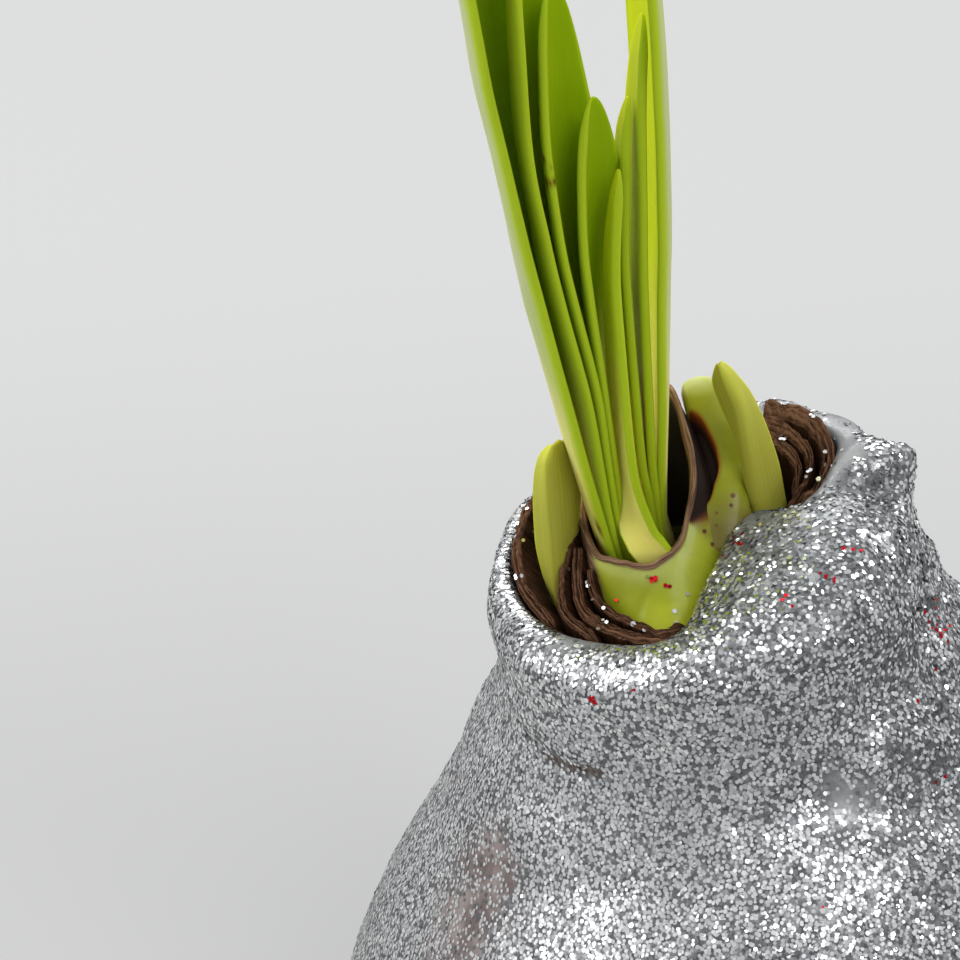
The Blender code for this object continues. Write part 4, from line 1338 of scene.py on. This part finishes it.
def with_walls(surface, floor):
    """A top surface with walls from its right and left sides to a floor, and their columns."""
    levels = np.linspace(0, 1, WALL_ROWS)[1:]
    rise = np.array((0, 0, floor))
    right = [surface[:, -1:] * (1, 1, 1 - v) + rise * v for v in levels]
    left = [surface[:, :1] * (1, 1, v) + rise * (1 - v) for v in np.r_[0, levels[:-1]]]
    return np.concatenate([surface] + right + left, axis=1), len(right), len(left)


def add_scale_right(material):
    """The thick green scale beside the collar; its top slopes forward, with a dried pocket."""
    top, back, from_left, reach, inside = scale_right_top()
    rings, right, left = with_walls(top, (FLOOR + SETTLE) / MM)
    height = rings[..., 2].copy()
    rings[..., 2] += RIM_HEIGHT / MM
    # The pocket's dark floor: its dried colour and painted shade in the recess.
    deep = rising(reach, 0, DARK_FULL)
    dark = rising(reach, from_left, DARK_SOFT) * deep
    scorch = rising(reach + SCORCH_SOFT, from_left, SCORCH_SOFT) * deep
    # Painted shade: the left wall beside the pocket is made dark.
    wall_painted_shade = np.r_[np.zeros(right), np.ones(left)][None, :] * np.clip(inside, 0, 1)
    pale = CREST_PALE * rising(height, CREST_FROM, CREST_RISE)
    dull = np.minimum(falling(height, DULL_FOOT_TOP, DULL_FOOT_FADE), DULL_FOOT) + DULL
    dull = dull + DULL_FRONT * falling(back, DULL_BACK, DULL_FADE)
    fields = {
        "along": back,
        "height": height,
        "layer": 0.0,
        "rim": 0.0,
        "dark": np.concatenate([dark, wall_painted_shade], axis=1),
        "scorch": np.concatenate([scorch, 0 * wall_painted_shade], axis=1),
        "pale": pale,
        "dull": np.clip(dull, 0, 1) * (1 - pale),
        "pips": falling(back, PIPS_BACK, PIPS_FADE),
    }
    piece = warped_grid("scale_right_flesh", lean(rings * MM), fields)
    return finish_piece(piece, "scale_right", material)


COLLAR_COLUMNS, COLLAR_ROWS = 260, 34
COLLAR_HALF = 0.45
COLLAR_SEED = 21
FOOT_SHARE = 0.25  # the level up to which the collar stands upright
THIN_FROM, THINNER = 0.8, 0.35  # from this level up it thins, by this share at its lip
TORN_FROM = 0.85
FOLD = 0.07
PLEAT, PLEAT_AT, PLEAT_SPREAD = -0.15, -140, 0.05  # mm, degrees and radians
LIP_START = 0.9
# Where it is dry: by level outside and inside, and at its left by the place across and height.
DRY_FROM, DRY_OVER, DRY_INSIDE_FROM, DRY_INSIDE_OVER = 0.945, 0.02, 0.6, 0.3
DRY_LEFT, DRY_LEFT_OVER, DRY_LEFT_LOW = -9.4, 0.5, -1.5
# Its inner face is painted nearly black, painted shade inside the funnel, less towards its left.
INSIDE_LEFT, INSIDE_PAINTED_SHADE, INSIDE_LEFT_LIGHTER = -7.5, 0.97, 0.8
# Where it faces the pocket it is scorched, and dark from its dried colour and painted shade; round
# its front right it is dull and pitted.
FACING_POCKET, FACING_SPREAD, FACING_FROM, FACING_RISE = 62, 0.75, 1.5, 1.5
POCKET_DRIED_AND_SHADE, POCKET_SCORCH = 1.5, 3
DULL_RIGHT_AT, DULL_RIGHT_SPREAD, DULL_LEFT_AT, DULL_LEFT_SPREAD = -10, 0.6, -160, 0.5
DULL_ALL, DULL_RIGHT, DULL_LEFT, PITTED_RIGHT = 0.1, 0.55, 0.25, 1.4
PALE_BAND, PALE_BAND_AT, PALE_BAND_HALF = 0.25, 0.9, 0.12
# The collar's lip, from its outer face over to its inner face: (level, share out, rise).
LIP_SECTION = (
    (0.93, 1.0, 0.0), (0.955, 1.1, 0.0), (0.975, 1.4, 0.0), (0.99, 1.6, 0.05), (1.0, 1.55, 0.13),
    (1.0, 1.15, 0.2), (1.0, 0.6, 0.2), (1.0, 0.1, 0.14), (0.99, -0.2, 0.03), (0.97, -0.5, 0.0),
)


def collar_rails():
    """The collar's foot and lip, their outward normals in plan, and how the lip is torn."""
    foot = smooth_closed(mm(*SCALE_FOOT), COLLAR_COLUMNS)
    lip = smooth_closed(mm(*SCALE_LIP), COLLAR_COLUMNS)
    turn = np.arange(COLLAR_COLUMNS) * 2 * math.pi / COLLAR_COLUMNS
    waver = np.column_stack([np.cos(turn), np.sin(turn), turn * 0]) * 9 * MM
    torn = 0.1 * wander(waver, 0.9 * MM, COLLAR_SEED)
    torn = (torn + 0.14 * wander(waver, 3 * MM, COLLAR_SEED + 1)) * MM
    return foot, lip, plan_normals(foot, closed=True), plan_normals(lip, closed=True), torn


def collar_ring(rails, up, share, over):
    """A ring of the collar, up it by one share, out of its middle by another, and raised."""
    foot, lip, out_low, out_high, torn = rails
    bottom = FLOOR + SETTLE
    part = max(up - FOOT_SHARE, 0) / (1 - FOOT_SHARE)
    if part:
        plan = foot[:, :2] + (lip[:, :2] - foot[:, :2]) * part
        z = foot[:, 2] + (lip[:, 2] - foot[:, 2]) * part
    else:
        plan = foot[:, :2]
        z = bottom + (foot[:, 2] - bottom) * up / FOOT_SHARE
    thick = COLLAR_HALF * (1 - THINNER * max(up - THIN_FROM, 0) / (1 - THIN_FROM))
    fold = FOLD * wander(np.column_stack([plan, z * 0.4]), 2.6 * MM, COLLAR_SEED + 2)
    angle = np.arctan2(plan[:, 1], plan[:, 0])
    pleat = PLEAT * bell(apart(angle, PLEAT_AT), PLEAT_SPREAD) * bell(up - 0.5, 0.3)
    normal = out_low + (out_high - out_low) * up
    plan = plan + normal * (share * (thick + fold) + pleat)[:, None] * MM
    z = z + torn * max(up - TORN_FROM, 0) / (1 - TORN_FROM) + over * MM
    return np.column_stack([plan, RIM_HEIGHT + z])


def add_scale_front(material):
    """The green funnel round the main leaves, ending in its thin dry lip.

    Gives its outer face, bent and straight, for the flakes that lie on it.
    """
    rails = collar_rails()
    lip = rails[1]
    section = [(v, 1.0, 0.0) for v in np.linspace(0, LIP_START, COLLAR_ROWS)]
    section += LIP_SECTION
    section += [(v, -1.0, 0.0) for v in np.linspace(LIP_START + 0.05, 0, COLLAR_ROWS)]
    rings = np.array([collar_ring(rails, *spot) for spot in section])
    level = np.array([spot[0] for spot in section])[:, None]
    inside = (np.arange(len(section)) > COLLAR_ROWS + 6)[:, None]
    height = (rings[..., 2] - RIM_HEIGHT) / MM
    across = rings[..., 0] / MM
    angle = np.arctan2(rings[..., 1], rings[..., 0])
    dry = rising(level, DRY_FROM, DRY_OVER)
    dry = dry * np.where(inside, rising(level, DRY_INSIDE_FROM, DRY_INSIDE_OVER), 1)
    left = falling(across, DRY_LEFT, DRY_LEFT_OVER) * rising(height, DRY_LEFT_LOW, 1)
    left_inside = falling(across, INSIDE_LEFT, 1)
    facing_pocket = bell(apart(angle, FACING_POCKET), FACING_SPREAD)
    facing_pocket = facing_pocket * rising(height, FACING_FROM, FACING_RISE)
    scorch = np.clip(facing_pocket * POCKET_SCORCH, 0, 1)
    dark = np.clip(facing_pocket * POCKET_DRIED_AND_SHADE, 0, 1)
    right = bell(apart(angle, DULL_RIGHT_AT), DULL_RIGHT_SPREAD)
    far_left = bell(apart(angle, DULL_LEFT_AT), DULL_LEFT_SPREAD)
    fields = {
        "along": run_along(np.vstack([lip, lip[:1]]))[:-1][None, :] / MM,
        "height": height,
        "layer": np.arange(len(section), dtype=float)[:, None],
        "rim": np.maximum(dry, np.where(inside, left_inside, left)),
        # Inside, the dark tint is painted shade, lighter towards its left; outside, it is dried
        # colour and painted shade facing the pocket.
        "dark": np.where(inside, INSIDE_PAINTED_SHADE - INSIDE_LEFT_LIGHTER * left_inside, dark),
        "scorch": np.where(inside, 0.0, scorch),
        "pale": PALE_BAND * bell(level - PALE_BAND_AT, PALE_BAND_HALF) * (1 - inside),
        "dull": np.clip(DULL_ALL + DULL_RIGHT * right + DULL_LEFT * far_left, 0, 1),
        "pips": np.clip(right * PITTED_RIGHT, 0, 1) * (1 - inside),
    }
    bent = lean(rings)
    finish_piece(warped_grid("scale_front_flesh", bent, fields), "scale_front", material)
    return bent[:COLLAR_ROWS], rings[:COLLAR_ROWS]


# Loose flakes on the collar: (across, back, height, kind).
LOOSE_ON_COLLAR = (
    (-4.6, -4.0, 0.4, RED_KIND), (-4.3, -4.1, 0.1, RED_KIND), (-4.8, -4.0, 0.0, RED_KIND),
    (-4.2, -4.0, 0.5, RED_KIND), (-3.6, -4.3, -0.8, RED_KIND), (-3.3, -4.2, -1.0, RED_KIND),
    (-5.1, -3.9, 0.6, BRIGHT_KIND), (-3.6, -6.6, -3.6, BRIGHT_KIND),
    (-3.5, -5.8, -2.8, BRIGHT_KIND), (-8.6, -4.2, -0.8, RED_KIND), (-2.0, -4.6, -2.0, DARK_KIND),
)
LOOSE_ON_SKIN = 16  # on each papery skin
LOOSE_DEPTH = 5 * MM  # they lie within this of the skin's top
LOOSE_LIFT = 0.12
LOOSE_TILT = 14.0


def add_loose_flakes(collar, collar_straight, materials):
    """Glitter that fell on the collar and the papery skins."""
    rng = np.random.default_rng(SEED + 1)
    outward = grid_normals(collar)
    places, normals, kinds = [], [], []
    for x, y, height, kind in LOOSE_ON_COLLAR:
        wanted = mm(x, y, height) + (0, 0, RIM_HEIGHT)
        distance = np.linalg.norm(collar_straight - wanted, axis=2)
        nearest = np.unravel_index(np.argmin(distance), distance.shape)
        places.append(collar[nearest])
        normals.append(outward[nearest])
        kinds.append(kind)
    for node in TUNICS:
        verts = bpy.data.objects[node + "_skin"].data.vertices
        tall = max(vert.co.z for vert in verts)
        upper = [v for v in verts if v.co.z > tall - LOOSE_DEPTH and v.normal.z > 0.15]
        for index in rng.choice(len(upper), LOOSE_ON_SKIN, replace=False):
            places.append(np.array(upper[index].co))
            normals.append(np.array(upper[index].normal))
            kinds.append(rng.choice([SOFT_KIND, SILVER_KIND, BRIGHT_KIND]))
    normals = unit(np.array(normals))
    places = np.array(places) + normals * LOOSE_LIFT * MM
    corners = flake_corners(places, normals, np.full(len(places), LOOSE_TILT), rng)
    lay_flakes("loose_glitter", corners, np.array(kinds), materials)


def add_skins_and_scales(flakes):
    """The papery skins, the two green scales, and the glitter that fell on them."""
    skin = tunic_material()
    for number, (node, shape) in enumerate(TUNICS.items()):
        add_tunic(node, shape, TUNIC_SEED + TUNIC_SEED_STEP * number, skin)
    flesh = scale_material()
    collar, collar_straight = add_scale_front(flesh)
    add_scale_right(flesh)
    add_loose_flakes(collar, collar_straight, flakes)


def dress_bulb():
    """The bulb keeps its own mesh, and gets a browner, rougher skin."""
    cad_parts["bulb_body"].material_slots[0].material = bulb_material()


# Stage, lights and camera.

FLOOR_HALF = 3.0
WORLD_COLOUR, WORLD_STRENGTH = (0.96, 0.98, 1.0, 1.0), 0.54
MIDDLE_OF_PART = (-0.01, 0.0, 0.09)
BEHIND_PART = (0.0, 0.35, 0.0)
# Each light: its place, what it faces, its two sides in metres, and its watts.
LIGHTS = {
    "overhead": ((-0.4, 0.1, 0.95), MIDDLE_OF_PART, (0.5, 0.4), 3.4),
    "front": ((0.24, -0.6, 0.85), MIDDLE_OF_PART, (0.35, 0.3), 2.7),
    "left": ((-0.9, -0.05, 0.65), MIDDLE_OF_PART, (0.5, 0.5), 4.2),
    "right": ((0.75, 0.35, 0.7), MIDDLE_OF_PART, (0.25, 0.25), 2.4),
    "far": ((0.0, 1.0, 0.9), BEHIND_PART, (0.9, 0.5), 7.0),
}
CAMERA_PLACE = (-0.03288, -0.29996, 0.25944)
CAMERA_TILT = math.radians(62.0)
CAMERA_LENS, CAMERA_SENSOR = 135.0, 36.0
CLIP_START = 0.01


def add_floor():
    """The wide pale floor that the part stands on."""
    mesh = bmesh.new()
    bmesh.ops.create_grid(mesh, x_segments=1, y_segments=1, size=FLOOR_HALF)
    data = bpy.data.meshes.new("floor")
    mesh.to_mesh(data)
    mesh.free()
    data.materials.append(floor_material())
    link("floor", data)


def add_light(name, place, aim, sides, power):
    """A rectangular light that faces a point."""
    data = bpy.data.lights.new(name, "AREA")
    data.shape = "RECTANGLE"
    data.size, data.size_y = sides
    data.energy = power
    light = link(name, data)
    light.location = place
    way = np.array(aim, float) - np.array(place, float)
    flat = math.hypot(way[0], way[1])
    light.rotation_euler = (math.atan2(flat, -way[2]), 0.0, math.atan2(-way[0], way[1]))


def add_lights():
    """A soft pale room, with rectangular lights round the part and one behind it."""
    world = bpy.data.worlds.new("studio")
    world.use_nodes = True
    background = world.node_tree.nodes["Background"]
    background.inputs["Color"].default_value = WORLD_COLOUR
    background.inputs["Strength"].default_value = WORLD_STRENGTH
    bpy.context.scene.world = world
    for name, settings in LIGHTS.items():
        add_light(name, *settings)


def add_camera():
    """A long lens that looks down at the neck and the leaves."""
    data = bpy.data.cameras.new("camera")
    data.lens = CAMERA_LENS
    data.sensor_width = CAMERA_SENSOR
    data.clip_start = CLIP_START
    camera = link("camera", data)
    camera.location = CAMERA_PLACE
    camera.rotation_euler = (CAMERA_TILT, 0.0, 0.0)
    bpy.context.scene.camera = camera


def main():
    """The bulb's new skin, every visual piece in turn, and the stage."""
    bpy.context.scene.view_settings.view_transform = "Standard"
    dress_bulb()
    rows, fields = wax_outside()
    add_wax(rows, fields)
    flakes = flake_materials()
    add_flakes(rows, fields, flakes)
    add_skins_and_scales(flakes)
    add_leaves()
    add_shoots()
    add_floor()
    add_lights()
    add_camera()


main()
